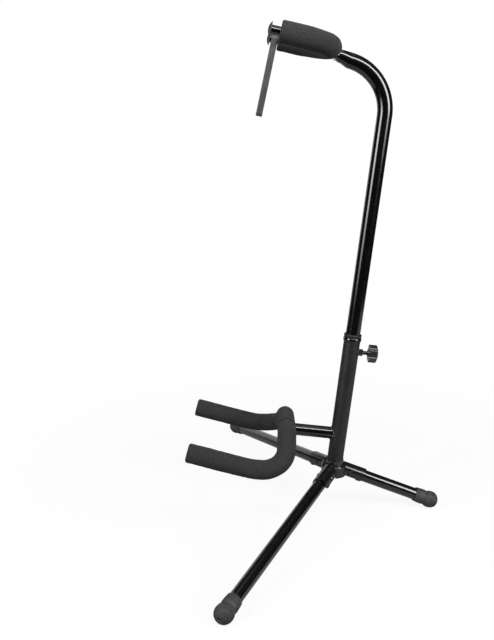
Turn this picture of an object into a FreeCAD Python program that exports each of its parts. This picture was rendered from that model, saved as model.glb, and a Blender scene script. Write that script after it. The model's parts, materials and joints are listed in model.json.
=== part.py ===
import FreeCAD, Part
import math
import os

import Sketcher

# Tripod stand for one guitar: a folding three-legged base, a leaning two-part post, a padded
# cradle for the body and a padded yoke for the neck. Millimetres and degrees. +Z is up, the
# guitar side faces -Y, and right (+X) and left (-X) are as seen from the guitar side.

SIZES = {
    # Post: a leaning outer tube that stands on the hub
    "post_lean_angle": 5.9,
    "post_set_back": 1.5,
    "post_foot_rise": 3.5,
    "outer_tube_diameter": 25.4,
    "outer_tube_wall": 1.2,
    "outer_tube_length": 207.9,
    "outer_tube_sink": 8.0,
    "rim_bead_height": 6.4,
    "rim_bead_proud": 1.3,
    # Nylon bush in the mouth of the outer tube
    "bush_wall": 0.75,
    "bush_depth": 14.0,
    "bush_flange_height": 5.2,
    "bush_flange_diameter": 27.0,
    "bush_flange_chamfer": 1.3,
    "slide_clearance": 0.2,
    "seat_clearance": 0.05,
    # Inner tube: straight, bent forward at the top, its end pressed flat
    "inner_tube_diameter": 22.2,
    "inner_tube_wall": 1.2,
    "inner_tube_insertion": 130.0,
    "inner_tube_straight": 460.1,
    "neck_bend_radius": 71.0,
    "neck_bend_angle": 80.7,
    "neck_press_lead": 3.0,
    "neck_shoulder_reach": 11.5,
    "neck_shoulder_height": 18.2,
    "neck_throat_reach": 10.5,
    "neck_throat_height": 7.6,
    "neck_flat_reach": 8.0,
    "neck_tongue_length": 9.0,
    "neck_tongue_lift": 2.4,
    "neck_rod_distance": 30.2,
    "press_gap": 0.4,
    "press_corner_angle": 65.0,
    # Glide plug in the bottom of the inner tube
    "glide_collar_height": 10.0,
    "glide_stem_height": 16.0,
    "glide_bore": 10.0,
    "glide_clearance": 0.15,
    "glide_gap": 0.3,
    # Bent rods and their foam sleeves
    "rod_diameter": 12.0,
    "yoke_foam_diameter": 30.0,
    "cradle_foam_diameter": 29.0,
    "foam_edge_radius": 2.0,
    "foam_clearance": 0.1,
    "pocket_clearance": 0.4,
    "weld_gap": 0.05,
    # Yoke for the neck
    "yoke_spread": 110.0,
    "yoke_rise_angle": 6.0,
    "yoke_foam_reach": 74.6,
    "peg_bare_length": 12.4,
    "yoke_cap_diameter": 20.0,
    "yoke_cap_height": 4.4,
    "yoke_cap_rim": 0.9,
    "yoke_cap_socket": 2.2,
    # Rubber neck band on the left peg
    "band_width": 9.7,
    "band_thickness": 2.0,
    "band_length": 107.3,
    "band_turn_radius": 2.4,
    "band_clearance": 0.3,
    "band_gap": 0.6,
    # Cradle for the body: arm tube on the post, cranked cross rod, two forward arms
    "arm_tube_diameter": 19.0,
    "arm_tube_wall": 1.2,
    "arm_height": 47.0,
    "arm_reach": 85.3,
    "arm_press_length": 10.0,
    "arm_tongue_length": 11.0,
    "cradle_spread": 186.0,
    "cradle_crank_half_width": 40.0,
    "cradle_drop": 37.6,
    "cradle_heel_length": 50.0,
    "cradle_heel_fall_angle": 2.6,
    "cradle_toe_length": 99.5,
    "cradle_toe_rise_angle": 9.4,
    "crank_bend_radius": 22.0,
    "corner_bend_radius": 37.0,
    "toe_bend_radius": 110.0,
    "cradle_seam_offset": 12.0,
    "cradle_cap_diameter": 16.0,
    "cradle_cap_height": 9.0,
    "cradle_cap_end": 2.0,
    "cradle_cap_recess": 1.0,
    # Legs
    "leg_diameter": 19.0,
    "leg_wall": 1.2,
    "front_leg_angle": 61.4,
    "front_pivot_radius": 34.0,
    "front_pivot_drop": 11.3,
    "front_foot_radius": 343.8,
    "rear_pivot_radius": 25.5,
    "rear_pivot_drop": 13.9,
    "rear_foot_radius": 156.8,
    "leg_end_setback": 3.0,
    "leg_nose_gap": 0.15,
    # Rubber feet
    "foot_ball_diameter": 26.0,
    "foot_flat_depth": 0.5,
    "foot_sleeve_length": 26.0,
    "foot_mouth_wall": 1.5,
    "foot_waist_wall": 2.6,
    "foot_waist_distance": 9.0,
    "foot_groove_count": 5.0,
    "foot_groove_angle": 12.0,
    "foot_groove_share": 0.25,
    "foot_groove_depth": 0.6,
    "foot_tip_hole": 3.4,
    "foot_tip_hole_depth": 4.0,
    "foot_seat_gap": 0.5,
    # Pressed steel hub with three channels and a round drum
    "hub_wall": 1.2,
    "hub_top_height": 76.5,
    "hub_drum_diameter": 40.0,
    "hub_drum_depth": 19.0,
    "hub_edge_radius": 3.0,
    "channel_clearance": 0.8,
    "front_channel_reach": 22.5,
    "rear_channel_reach": 25.0,
    "channel_skirt": 6.0,
    "channel_tab": 1.4,
    "channel_tab_length": 13.0,
    "foot_ring_diameter": 29.0,
    "foot_ring_top_diameter": 27.6,
    "foot_ring_height": 7.5,
    # Leg rivets
    "rivet_diameter": 5.0,
    "rivet_clearance": 0.1,
    "rivet_head_diameter": 8.0,
    "rivet_crown_diameter": 4.6,
    "rivet_head_height": 2.0,
    # Clamp on the back of the outer tube
    "clamp_drop": 23.6,
    "screw_diameter": 5.9,
    "screw_tip_gap": 0.25,
    "screw_tip_chamfer": 0.8,
    "screw_clearance": 0.15,
    "nut_width": 9.5,
    "nut_height": 6.0,
    "knob_distance": 28.3,
    "knob_diameter": 28.0,
    "knob_height": 11.0,
    "knob_crown": 3.4,
    "knob_hub_diameter": 9.5,
    "knob_hub_height": 2.4,
    "knob_socket_depth": 9.0,
    "knob_flute_diameter": 9.0,
    "knob_flute_bite": 2.3,
    "knob_flute_count": 7.0,
    # One overrun for every cutting tool
    "overrun": 2.0,
}

doc = FreeCAD.newDocument("GuitarStand")
sheet = doc.addObject("Spreadsheet::Sheet", "Sizes")
for row, (alias, number) in enumerate(SIZES.items(), start=1):
    sheet.set(f"A{row}", alias)
    sheet.set(f"B{row}", str(number))
    sheet.setAlias(f"B{row}", alias)
doc.recompute()


class Size:
    """A number together with the spreadsheet formula that gives it."""

    def __init__(self, value, formula):
        self.value = value
        self.formula = formula

    @staticmethod
    def of(other):
        return other if isinstance(other, Size) else Size(float(other), repr(float(other)))

    def __add__(self, other):
        other = Size.of(other)
        return Size(self.value + other.value, f"({self.formula} + {other.formula})")

    def __sub__(self, other):
        other = Size.of(other)
        return Size(self.value - other.value, f"({self.formula} - {other.formula})")

    def __mul__(self, other):
        other = Size.of(other)
        return Size(self.value * other.value, f"({self.formula} * {other.formula})")

    def __truediv__(self, other):
        other = Size.of(other)
        return Size(self.value / other.value, f"({self.formula} / {other.formula})")

    def __neg__(self):
        return Size(-self.value, f"(0 - {self.formula})")

    __radd__ = __add__
    __rmul__ = __mul__


def size(alias):
    """The named cell as a number that keeps its formula."""
    return Size(float(sheet.get(alias)), f"Sizes.{alias}")


def num(alias):
    """The named cell as a plain number."""
    return float(sheet.get(alias))


def bind(thing, **lengths):
    """Bind properties of a document object to formulas of the spreadsheet."""
    for name, length in lengths.items():
        thing.setExpression(name, Size.of(length).formula)


def square_root(length):
    return Size(math.sqrt(length.value), f"sqrt({length.formula})")


def sine_and_cosine(alias, times):
    """Sine and cosine of a number of steps of the named angle."""
    angle = math.radians(num(alias) * times)
    formula = f"Sizes.{alias} * {times} * 1 deg"
    return Size(math.sin(angle), f"sin({formula})"), Size(math.cos(angle), f"cos({formula})")


ZERO = Size(0.0, "0")
SLIVER = 1e-3
X = FreeCAD.Vector(1, 0, 0)
Y = FreeCAD.Vector(0, 1, 0)
Z = FreeCAD.Vector(0, 0, 1)


def at(x=0.0, y=0.0, z=0.0):
    return FreeCAD.Placement(FreeCAD.Vector(x, y, z), FreeCAD.Rotation())


def turned(axis, degrees):
    return FreeCAD.Placement(FreeCAD.Vector(), FreeCAD.Rotation(axis, degrees))


# Frames. The post's frame has its Z up the post and its +Y out of the back of it.
post_foot_height = num("hub_top_height") + num("post_foot_rise")
post = at(0, num("post_set_back"), post_foot_height) * turned(X, -num("post_lean_angle"))
clamp_up = num("outer_tube_length") - num("clamp_drop")
clamp = post * at(z=clamp_up) * turned(X, -90)

pieces = []


def keep(thing, label, placement=None):
    """Take a finished object as the sub-part of that name."""
    thing.Label = label
    if placement is not None:
        thing.Placement = placement
    pieces.append(thing)
    return thing


# Sketched outlines

def plane_of(body, role):
    return next(plane for plane in body.Origin.OriginFeatures if plane.Role == role)


def new_sketch(body, name, role):
    sketch = body.newObject("Sketcher::SketchObject", name)
    sketch.AttachmentSupport = (plane_of(body, role), [""])
    sketch.MapMode = "FlatFace"
    return sketch


def pin_point(sketch, geometry, end, x, y):
    """Hold one end of a line or arc at x, y of the sketch, both as spreadsheet formulas."""
    for kind, axis, length in (("DistanceX", -2, x), ("DistanceY", -1, y)):
        if length.value == 0.0:
            sketch.addConstraint(Sketcher.Constraint("PointOnObject", geometry, end, axis))
            continue
        ends = (-1, 1, geometry, end) if length.value > 0 else (geometry, end, -1, 1)
        positive = length if length.value > 0 else -length
        index = sketch.addConstraint(Sketcher.Constraint(kind, *ends, positive.value))
        sketch.setExpression(f"Constraints[{index}]", positive.formula)


def arc_between(a, b, radius, side):
    """The lesser arc from a to b that bulges to the right (1) or left (-1) of the way there."""
    half = (b - a) * 0.5
    outward = half.cross(Z).normalize() * side
    reach = math.sqrt(max(radius ** 2 - half.Length ** 2, 0.0))
    centre = a + half - outward * reach
    first, last = (a, b) if side > 0 else (b, a)
    begins = math.atan2(first.y - centre.y, first.x - centre.x)
    ends = math.atan2(last.y - centre.y, last.x - centre.x)
    if ends < begins:
        ends += 2 * math.pi
    return Part.ArcOfCircle(Part.Circle(centre, Z, radius), begins, ends)


def draw_loop(sketch, corners, closed=True):
    """Lines and arcs through the corners. A corner is (x, y), or (x, y, radius, side) where an
    arc of that radius leads on to the next corner and bulges to the right (1) or left (-1)."""
    corners = [(Size.of(c[0]), Size.of(c[1])) + tuple(c[2:]) for c in corners]
    runs = list(zip(corners, corners[1:] + corners[:1]))
    if not closed:
        runs.pop()
    for a, b in runs:
        start = FreeCAD.Vector(a[0].value, a[1].value, 0)
        end = FreeCAD.Vector(b[0].value, b[1].value, 0)
        begin_point = 1
        if len(a) == 2:
            geometry = sketch.addGeometry(Part.LineSegment(start, end), False)
        else:
            radius, side = Size.of(a[2]), a[3]
            geometry = sketch.addGeometry(arc_between(start, end, radius.value, side), False)
            begin_point = 1 if side > 0 else 2
            index = sketch.addConstraint(Sketcher.Constraint("Radius", geometry, radius.value))
            sketch.setExpression(f"Constraints[{index}]", radius.formula)
        pin_point(sketch, geometry, begin_point, a[0], a[1])
        pin_point(sketch, geometry, 3 - begin_point, b[0], b[1])


def draw_circle(sketch, x, y, radius):
    x, y, radius = Size.of(x), Size.of(y), Size.of(radius)
    centre = FreeCAD.Vector(x.value, y.value, 0)
    geometry = sketch.addGeometry(Part.Circle(centre, Z, radius.value), False)
    index = sketch.addConstraint(Sketcher.Constraint("Radius", geometry, radius.value))
    sketch.setExpression(f"Constraints[{index}]", radius.formula)
    pin_point(sketch, geometry, 3, x, y)


def draw_belt(sketch, top_radius, foot_radius, length):
    """Two round ends, one above the other, and the straight runs that touch them both."""
    lean = math.asin((top_radius.value - foot_radius.value) / length.value)
    foot_centre = FreeCAD.Vector(0, -length.value, 0)
    top = Part.ArcOfCircle(Part.Circle(FreeCAD.Vector(), Z, top_radius.value),
                           -lean, math.pi + lean)
    foot = Part.ArcOfCircle(Part.Circle(foot_centre, Z, foot_radius.value),
                            math.pi + lean, 2 * math.pi - lean)
    left = Part.LineSegment(top.EndPoint, foot.StartPoint)
    right = Part.LineSegment(foot.EndPoint, top.StartPoint)
    first = sketch.addGeometry([top, left, foot, right], False)[0]
    for step in range(4):
        here, after = first + step, first + (step + 1) % 4
        sketch.addConstraint(Sketcher.Constraint("Tangent", here, 2, after, 1))
    for geometry, radius, drop in ((first, top_radius, ZERO), (first + 2, foot_radius, length)):
        pin_point(sketch, geometry, 3, ZERO, -drop)
        index = sketch.addConstraint(Sketcher.Constraint("Radius", geometry, radius.value))
        sketch.setExpression(f"Constraints[{index}]", radius.formula)


def revolved(name, corners):
    """A body turned about its own Z from an outline of (radius, height) corners."""
    body = doc.addObject("PartDesign::Body", name)
    sketch = new_sketch(body, name + "_outline", "XZ_Plane")
    draw_loop(sketch, corners)
    turn = body.newObject("PartDesign::Revolution", name + "_turn")
    turn.Profile = sketch
    turn.ReferenceAxis = (sketch, ["V_Axis"])
    turn.Angle = 360
    return body


def piped(name, spine_corners, start_x, radii):
    """A body swept along a flat spine that starts at (start_x, 0) and first runs along +Y."""
    body = doc.addObject("PartDesign::Body", name)
    spine = new_sketch(body, name + "_spine", "XY_Plane")
    draw_loop(spine, spine_corners, closed=False)
    section = new_sketch(body, name + "_section", "XZ_Plane")
    for radius in radii:
        draw_circle(section, start_x, ZERO, radius)
    doc.recompute()
    pipe = body.newObject("PartDesign::AdditivePipe", name + "_pipe")
    pipe.Profile = section
    pipe.Spine = (spine, [f"Edge{i + 1}" for i in range(len(spine.Geometry))])
    return body


# Part primitives

def cylinder(name, radius, height, placement):
    thing = doc.addObject("Part::Cylinder", name)
    bind(thing, Radius=radius, Height=height)
    thing.Placement = placement
    return thing


def block(name, length, width, height, placement):
    thing = doc.addObject("Part::Box", name)
    bind(thing, Length=length, Width=width, Height=height)
    thing.Placement = placement
    return thing


def cut(name, base, tool):
    thing = doc.addObject("Part::Cut", name)
    thing.Base = base
    thing.Tool = tool
    return thing


def fuse(name, *things):
    thing = doc.addObject("Part::MultiFuse", name)
    thing.Shapes = list(things)
    return thing


def common(name, base, tool):
    thing = doc.addObject("Part::Common", name)
    thing.Base = base
    thing.Tool = tool
    return thing


# Paths and sweeps for the pieces that bend in space

def rounded_path(points, radii):
    """Straight runs through the points, joined at the inner ones by tangent arcs."""
    points = [FreeCAD.Vector(*p) for p in points]
    edges = []
    last = points[0]
    for before, corner, after, radius in zip(points, points[1:], points[2:], radii):
        inward = (before - corner).normalize()
        outward = (after - corner).normalize()
        half_turn = (math.pi - inward.getAngle(outward)) / 2
        setback = radius * math.tan(half_turn)
        enter = corner + inward * setback
        leave = corner + outward * setback
        bisector = (inward + outward).normalize()
        middle = corner + bisector * (radius / math.cos(half_turn) - radius)
        if (enter - last).Length > 1e-6:
            edges.append(Part.LineSegment(last, enter).toShape())
        edges.append(Part.Arc(enter, middle, leave).toShape())
        last = leave
    edges.append(Part.LineSegment(last, points[-1]).toShape())
    return Part.Wire(edges)


def swept(path, radius):
    """A round bar along the path: a cylinder on each straight run, a piece of torus on each arc."""
    runs = []
    for edge in path.Edges:
        start = edge.valueAt(edge.FirstParameter)
        along = edge.tangentAt(edge.FirstParameter)
        if isinstance(edge.Curve, Part.Line):
            runs.append(Part.makeCylinder(radius, edge.Length, start, along))
            continue
        arc = edge.Curve
        disc = Part.Face(Part.Wire(Part.makeCircle(radius, start, along)))
        turn = math.degrees(edge.Length / arc.Radius)
        runs.append(disc.revolve(arc.Center, (start - arc.Center).cross(along), turn))
    return runs[0].multiFuse(runs[1:]).removeSplitter()


def softened(shape, centre, radius, distance):
    """Round the outer edge of the flat end whose middle is at centre."""
    if radius <= 0:
        return shape
    rims = [edge for edge in shape.Edges if hasattr(edge.Curve, "Radius")
            and edge.Curve.Center.distanceToPoint(centre) < distance
            and edge.Closed]
    rim = max(rims, key=lambda edge: edge.Curve.Radius)
    return shape.makeFillet(radius, [rim])


def stadium(half_width, half_height, along):
    """A wire with round ends, across X and Z, at the distance along +Y. A round one has four
    arcs, so that each of them meets its own side of the next, flatter one."""
    flat = half_width - half_height
    middle = Y * along
    if flat < SLIVER:
        spread = math.radians(num("press_corner_angle"))
        across = X * (half_width * math.cos(spread))
        rise = Z * (half_width * math.sin(spread))
        corners = [middle - across + rise, middle + across + rise,
                   middle + across - rise, middle - across - rise]
        crests = [Z, X, -Z, -X]
        return Part.Wire([Part.Arc(a, middle + crest * half_width, b).toShape() for a, crest, b
                          in zip(corners, crests, corners[1:] + corners[:1])])
    right, left = middle + X * flat, middle - X * flat
    rise = Z * half_height
    return Part.Wire([
        Part.LineSegment(left + rise, right + rise).toShape(),
        Part.Arc(right + rise, right + X * half_height, right - rise).toShape(),
        Part.LineSegment(right - rise, left - rise).toShape(),
        Part.Arc(left - rise, left - X * half_height, left + rise).toShape(),
    ])


def pressed_end(radius, stations, grow):
    """The end of a round tube of that radius, pressed flat along +Y. A station is (distance,
    height, lift of the middle), and the girth stays the tube's. Grow widens it all round."""
    sections = []
    for along, height, lift in stations:
        half_height = height / 2
        half_width = half_height + (radius - half_height) * math.pi / 2
        section = stadium(half_width + grow, half_height + grow, along)
        section.translate(Z * lift)
        sections.append(section)
    return Part.makeLoft(sections, True, True)


# Post: outer tube, bush, glide plug and inner tube

outer_radius = size("outer_tube_diameter") / 2
outer_bore = outer_radius - size("outer_tube_wall")
inner_radius = size("inner_tube_diameter") / 2
inner_bore = inner_radius - size("inner_tube_wall")
bush_bore = inner_radius + size("slide_clearance")
bush_radius = bush_bore + size("bush_wall")
mouth_radius = bush_radius + size("seat_clearance")
tube_top = size("outer_tube_length")
clamp_height = tube_top - size("clamp_drop")


def arc_radius(chord, rise):
    """Radius of the arc that stands rise proud of its chord."""
    return (chord * chord / 4 + rise * rise) / (rise * 2)


def make_outer_tube():
    bead = size("rim_bead_height")
    bead_radius = arc_radius(bead, size("rim_bead_proud"))
    seat = tube_top - size("bush_depth")
    body = revolved("outer_tube", [
        (outer_bore, -size("outer_tube_sink")),
        (outer_radius, -size("outer_tube_sink")),
        (outer_radius, tube_top - bead, bead_radius, 1),
        (outer_radius, tube_top),
        (mouth_radius, tube_top),
        (mouth_radius, seat),
        (outer_bore, seat),
    ])
    hole = new_sketch(body, "screw_hole", "XZ_Plane")
    draw_circle(hole, ZERO, clamp_height, size("screw_diameter") / 2 + size("screw_clearance"))
    pocket = body.newObject("PartDesign::Pocket", "screw_pocket")
    pocket.Profile = hole
    bind(pocket, Length=outer_radius + size("overrun"))
    keep(body, "outer_tube", post)


def make_mouth_bush():
    """A thin sleeve in the tube's mouth under a bevelled flange."""
    flange = size("bush_flange_diameter") / 2
    chamfer = size("bush_flange_chamfer")
    bottom = tube_top - size("bush_depth") + size("seat_clearance")
    face = tube_top + size("seat_clearance")
    top = face + size("bush_flange_height")
    keep(revolved("mouth_bush", [
        (bush_bore, bottom),
        (bush_radius, bottom),
        (bush_radius, face),
        (flange - chamfer / 2, face),
        (flange, face + chamfer),
        (flange, top - chamfer),
        (flange - chamfer, top),
        (bush_bore, top),
    ]), "mouth_bush", post)


def make_glide_plug():
    tube_end = tube_top - size("inner_tube_insertion")
    shoulder = tube_end - size("glide_gap")
    collar = outer_bore - size("glide_clearance")
    stem = inner_bore - size("glide_clearance")
    bore = size("glide_bore") / 2
    keep(revolved("glide_plug", [
        (bore, shoulder - size("glide_collar_height")),
        (collar, shoulder - size("glide_collar_height")),
        (collar, shoulder),
        (stem, shoulder),
        (stem, shoulder + size("glide_stem_height")),
        (bore, shoulder + size("glide_stem_height")),
    ]), "glide_plug", post)


inner_tube_foot = num("outer_tube_length") - num("inner_tube_insertion")
neck_bend_start = inner_tube_foot + num("inner_tube_straight")


def bend_end():
    """The end of the neck bend in the post's frame: +Y runs on along the tube's end."""
    angle = math.radians(num("neck_bend_angle"))
    radius = num("neck_bend_radius")
    y = -radius * (1 - math.cos(angle))
    z = neck_bend_start + radius * math.sin(angle)
    return at(0, y, z) * turned(Z, 180) * turned(X, 90 - num("neck_bend_angle"))


def neck_press(grow):
    """The flattened end of the inner tube: its top runs on straight over a shoulder, dives
    under the rod at a throat and ends in a flat tongue."""
    girth = num("inner_tube_diameter")
    start = num("neck_press_lead")
    shoulder = start + num("neck_shoulder_reach")
    throat = shoulder + num("neck_throat_reach")
    flat = throat + num("neck_flat_reach")
    tongue = 2 * num("inner_tube_wall") + num("press_gap")
    seat = num("neck_tongue_lift") + tongue / 2
    return pressed_end(girth / 2, [
        (start, girth, 0.0),
        (shoulder, num("neck_shoulder_height"), (girth - num("neck_shoulder_height")) / 2),
        (throat, num("neck_throat_height"), seat - num("neck_throat_height") / 2),
        (flat, tongue, num("neck_tongue_lift")),
        (flat + num("neck_tongue_length") + grow, tongue, num("neck_tongue_lift")),
    ], grow)


def make_inner_tube():
    top = neck_bend_start + num("neck_bend_radius") * math.tan(
        math.radians(num("neck_bend_angle")) / 2)
    end = bend_end()
    tip = end.multVec(Y * num("neck_press_lead"))
    corner = FreeCAD.Vector(0, 0, top)
    path = rounded_path([(0, 0, inner_tube_foot), corner, tip], [num("neck_bend_radius")])
    tube = swept(path, inner_radius.value).cut(swept(path, inner_bore.value))
    press = neck_press(0.0)
    press.Placement = end
    inner_tube = doc.addObject("Part::Feature", "inner_tube")
    inner_tube.Shape = tube.fuse(press).removeSplitter()
    keep(inner_tube, "inner_tube", post)


# Bent rods, foam sleeves and caps

rod_radius = size("rod_diameter") / 2
yoke_foam_radius = size("yoke_foam_diameter") / 2
cradle_foam_radius = size("cradle_foam_diameter") / 2
foam_bore = rod_radius + size("foam_clearance")


def rod_seat(lift, wall):
    """Height of a rod's middle over the axis of the tube whose pressed end carries it."""
    return lift + wall + num("press_gap") / 2 + num("weld_gap") + num("rod_diameter") / 2


def yoke_frame():
    """Frame of the yoke: its origin is the middle of the bend's back, +Y runs to the rear."""
    seat = rod_seat(num("neck_tongue_lift"), num("inner_tube_wall"))
    back = bend_end().multVec(FreeCAD.Vector(0, num("neck_rod_distance"), seat))
    return post * at(back.x, back.y, back.z) * turned(X, -num("yoke_rise_angle"))


yoke = yoke_frame()
half_spread = size("yoke_spread") / 2
foam_reach = size("yoke_foam_reach")
peg_end = foam_reach + size("peg_bare_length") + size("yoke_cap_socket")


def make_yoke_rod():
    run = peg_end - half_spread
    keep(piped("yoke_rod", [
        (half_spread, ZERO),
        (half_spread, run, half_spread, 1),
        (ZERO, peg_end, half_spread, 1),
        (-half_spread, run),
        (-half_spread, ZERO),
    ], half_spread, [rod_radius]), "yoke_rod", yoke * at(y=-peg_end.value))


def make_yoke_foam(name, side):
    run = foam_reach - half_spread
    x = half_spread * side
    sleeve = piped(name + "_sleeve", [
        (x, ZERO),
        (x, run, half_spread, side),
        (ZERO, foam_reach),
    ], x, [yoke_foam_radius, foam_bore])
    sleeve.Placement = yoke * at(y=-foam_reach.value)
    doc.recompute()
    tube = sleeve.Tip
    rims = [f"Edge{i + 1}" for i, edge in enumerate(tube.Shape.Edges)
            if edge.Closed and edge.Curve.Radius > foam_bore.value * 2 and abs(edge.Curve.Center.y) < SLIVER]
    soft = sleeve.newObject("PartDesign::Fillet", name + "_soft_end")
    soft.Base = (tube, rims)
    bind(soft, Radius=size("foam_edge_radius"))
    pocket = doc.addObject("Part::Feature", name + "_pocket")
    pocket.Shape = neck_pocket()
    keep(cut(name, sleeve, pocket), name)


def neck_pocket():
    """The room that the foam leaves for the pressed end of the inner tube."""
    clearance = num("pocket_clearance")
    lead = num("neck_press_lead") + num("yoke_foam_diameter")
    room = neck_press(clearance).fuse(
        Part.makeCylinder(inner_radius.value + clearance, lead,
                          Y * (num("neck_press_lead") - lead), Y))
    room.Placement = post * bend_end()
    return room


def cap_corners(bore, radius, rim, height, socket):
    """A mushroom cap: a flat underside, a short rim and a domed top over a blind socket."""
    dome = height - rim
    sphere = arc_radius(radius * 2, dome)
    return [
        (bore, ZERO),
        (radius, ZERO),
        (radius, rim, sphere, 1),
        (ZERO, height),
        (ZERO, socket),
        (bore, socket),
    ]


def make_yoke_cap(name, side):
    body = revolved(name, cap_corners(
        rod_radius + size("seat_clearance"), size("yoke_cap_diameter") / 2, size("yoke_cap_rim"),
        size("yoke_cap_height"), size("yoke_cap_socket") + size("seat_clearance")))
    face = foam_reach.value + num("peg_bare_length")
    keep(body, name, yoke * at(side * half_spread.value, -face, 0) * turned(X, 90))


def make_neck_band():
    """A flat rubber loop: half round the left peg, two strands down and a tight turn."""
    body = doc.addObject("PartDesign::Body", "neck_band")
    sketch = new_sketch(body, "band_outline", "XZ_Plane")
    length = size("band_length")
    top = rod_radius + size("band_clearance")
    foot = size("band_turn_radius")
    for thickness in (ZERO, size("band_thickness")):
        draw_belt(sketch, top + thickness, foot + thickness, length)
    pad = body.newObject("PartDesign::Pad", "band_width_pad")
    pad.Profile = sketch
    pad.Midplane = True
    bind(pad, Length=size("band_width"))
    middle = foam_reach.value + num("band_gap") + num("band_width") / 2
    keep(body, "neck_band", yoke * at(-half_spread.value, -middle, 0))


# Cradle

def cradle_points(side):
    """Corners of one half of the cradle rod in the post's frame, from the middle to the tip."""
    height = num("arm_height") + rod_seat(0.0, num("arm_tube_wall"))
    half = side * num("cradle_spread") / 2
    fall = math.radians(num("cradle_heel_fall_angle"))
    rise = math.radians(num("cradle_toe_rise_angle"))
    middle = FreeCAD.Vector(0, -num("arm_reach"), height)
    crank = middle + X * (side * num("cradle_crank_half_width"))
    corner = FreeCAD.Vector(half, middle.y, height - num("cradle_drop"))
    heel = corner + FreeCAD.Vector(0, -math.cos(fall), -math.sin(fall)) * num("cradle_heel_length")
    toe_run = FreeCAD.Vector(0, -math.cos(rise), math.sin(rise))
    return middle, crank, corner, heel, toe_run


def make_cradle_rod():
    bends = [num("crank_bend_radius"), num("corner_bend_radius"), num("toe_bend_radius")]
    tip_length = num("cradle_toe_length") - num("cradle_cap_recess") - num("cradle_cap_end")
    halves = []
    for side in (1, -1):
        _, crank, corner, heel, toe_run = cradle_points(side)
        halves.append([heel + toe_run * tip_length, heel, corner, crank])
    points = halves[0] + halves[1][::-1]
    rod = doc.addObject("Part::Feature", "cradle_rod")
    rod.Shape = swept(rounded_path(points, bends[::-1] + bends), rod_radius.value)
    keep(rod, "cradle_rod", post)


def make_cradle_foam(name, side):
    middle, crank, corner, heel, toe_run = cradle_points(side)
    tip = heel + toe_run * num("cradle_toe_length")
    bends = [num("crank_bend_radius"), num("corner_bend_radius"), num("toe_bend_radius")]
    seam = middle + X * num("cradle_seam_offset")
    path = rounded_path([seam, crank, corner, heel, tip], bends)
    sleeve = swept(path, cradle_foam_radius.value).cut(swept(path, foam_bore.value))
    sleeve = softened(sleeve, tip, num("foam_edge_radius"), num("seat_clearance"))
    cap_room = Part.makeCylinder(num("cradle_cap_diameter") / 2 + num("seat_clearance"),
                                 num("cradle_cap_height") + num("cradle_cap_recess")
                                 + num("pocket_clearance") + num("overrun"),
                                 tip + toe_run * num("overrun"), toe_run * -1)
    foam = doc.addObject("Part::Feature", name)
    foam.Shape = sleeve.cut(cap_room).cut(arm_pocket())
    keep(foam, name, post)


def arm_press_start():
    """Distance from the post's axis to where the arm tube starts to flatten."""
    return num("arm_reach") - num("arm_tongue_length") / 2 - num("arm_press_length")


def arm_press(grow):
    """The flattened end of the arm tube, with its tongue on the tube's axis."""
    girth = num("arm_tube_diameter")
    start = arm_press_start()
    flat = start + num("arm_press_length")
    tongue = 2 * num("arm_tube_wall") + num("press_gap")
    return pressed_end(girth / 2, [
        (start, girth, 0.0),
        (flat, tongue, 0.0),
        (flat + num("arm_tongue_length") + grow, tongue, 0.0),
    ], grow)


def arm_pocket():
    """The room that the cradle foam leaves for the arm tube and its pressed end."""
    clearance = num("pocket_clearance")
    room = arm_press(clearance).fuse(
        Part.makeCylinder(num("arm_tube_diameter") / 2 + clearance, arm_press_start(),
                          FreeCAD.Vector(), Y))
    room.Placement = at(z=num("arm_height")) * turned(Z, 180)
    return room


def make_cradle_arm():
    radius = num("arm_tube_diameter") / 2
    start = arm_press_start()
    tube = Part.makeCylinder(radius, start, FreeCAD.Vector(), Y)
    tube = tube.cut(Part.makeCylinder(radius - num("arm_tube_wall"), start, FreeCAD.Vector(), Y))
    arm = tube.fuse(arm_press(0.0)).removeSplitter()
    saddle = Part.makeCylinder(outer_radius.value + num("weld_gap"), num("arm_tube_diameter") * 2,
                               Z * -num("arm_tube_diameter"), Z)
    cradle_arm = doc.addObject("Part::Feature", "cradle_arm")
    cradle_arm.Shape = arm.cut(saddle)
    keep(cradle_arm, "cradle_arm", post * at(z=num("arm_height")) * turned(Z, 180))


def make_cradle_cap(name, side):
    _, _, _, heel, toe_run = cradle_points(side)
    face = heel + toe_run * (num("cradle_toe_length") - num("cradle_cap_recess"))
    radius = size("cradle_cap_diameter") / 2
    height = size("cradle_cap_height")
    bore = rod_radius + size("seat_clearance")
    body = revolved(name, [
        (bore, -height),
        (radius, -height),
        (radius, -size("cradle_cap_end") / 2),
        (radius - size("cradle_cap_end") / 2, ZERO),
        (ZERO, ZERO),
        (ZERO, -size("cradle_cap_end") + size("seat_clearance")),
        (bore, -size("cradle_cap_end") + size("seat_clearance")),
    ])
    aim = FreeCAD.Placement(face, FreeCAD.Rotation(Z, toe_run))
    keep(body, name, post * aim)


# Hub, legs, rivets and feet

leg_radius = size("leg_diameter") / 2


def leg_frame(azimuth, pivot_radius, pivot_drop, foot_radius):
    """Frame of a leg: its origin is the pivot, +Z runs down the leg and +X is the rivet's axis.
    The azimuth is counted from -Y towards +X."""
    ball_height = num("foot_ball_diameter") / 2 - num("foot_flat_depth")
    pivot_height = num("hub_top_height") - pivot_drop
    reach = foot_radius - pivot_radius
    fall = math.atan2(pivot_height - ball_height, reach)
    length = math.hypot(pivot_height - ball_height, reach)
    aim = turned(Z, azimuth) * at(0, -pivot_radius, pivot_height)
    tip = turned(X, 90 + math.degrees(fall))
    return aim * tip, length


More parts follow.
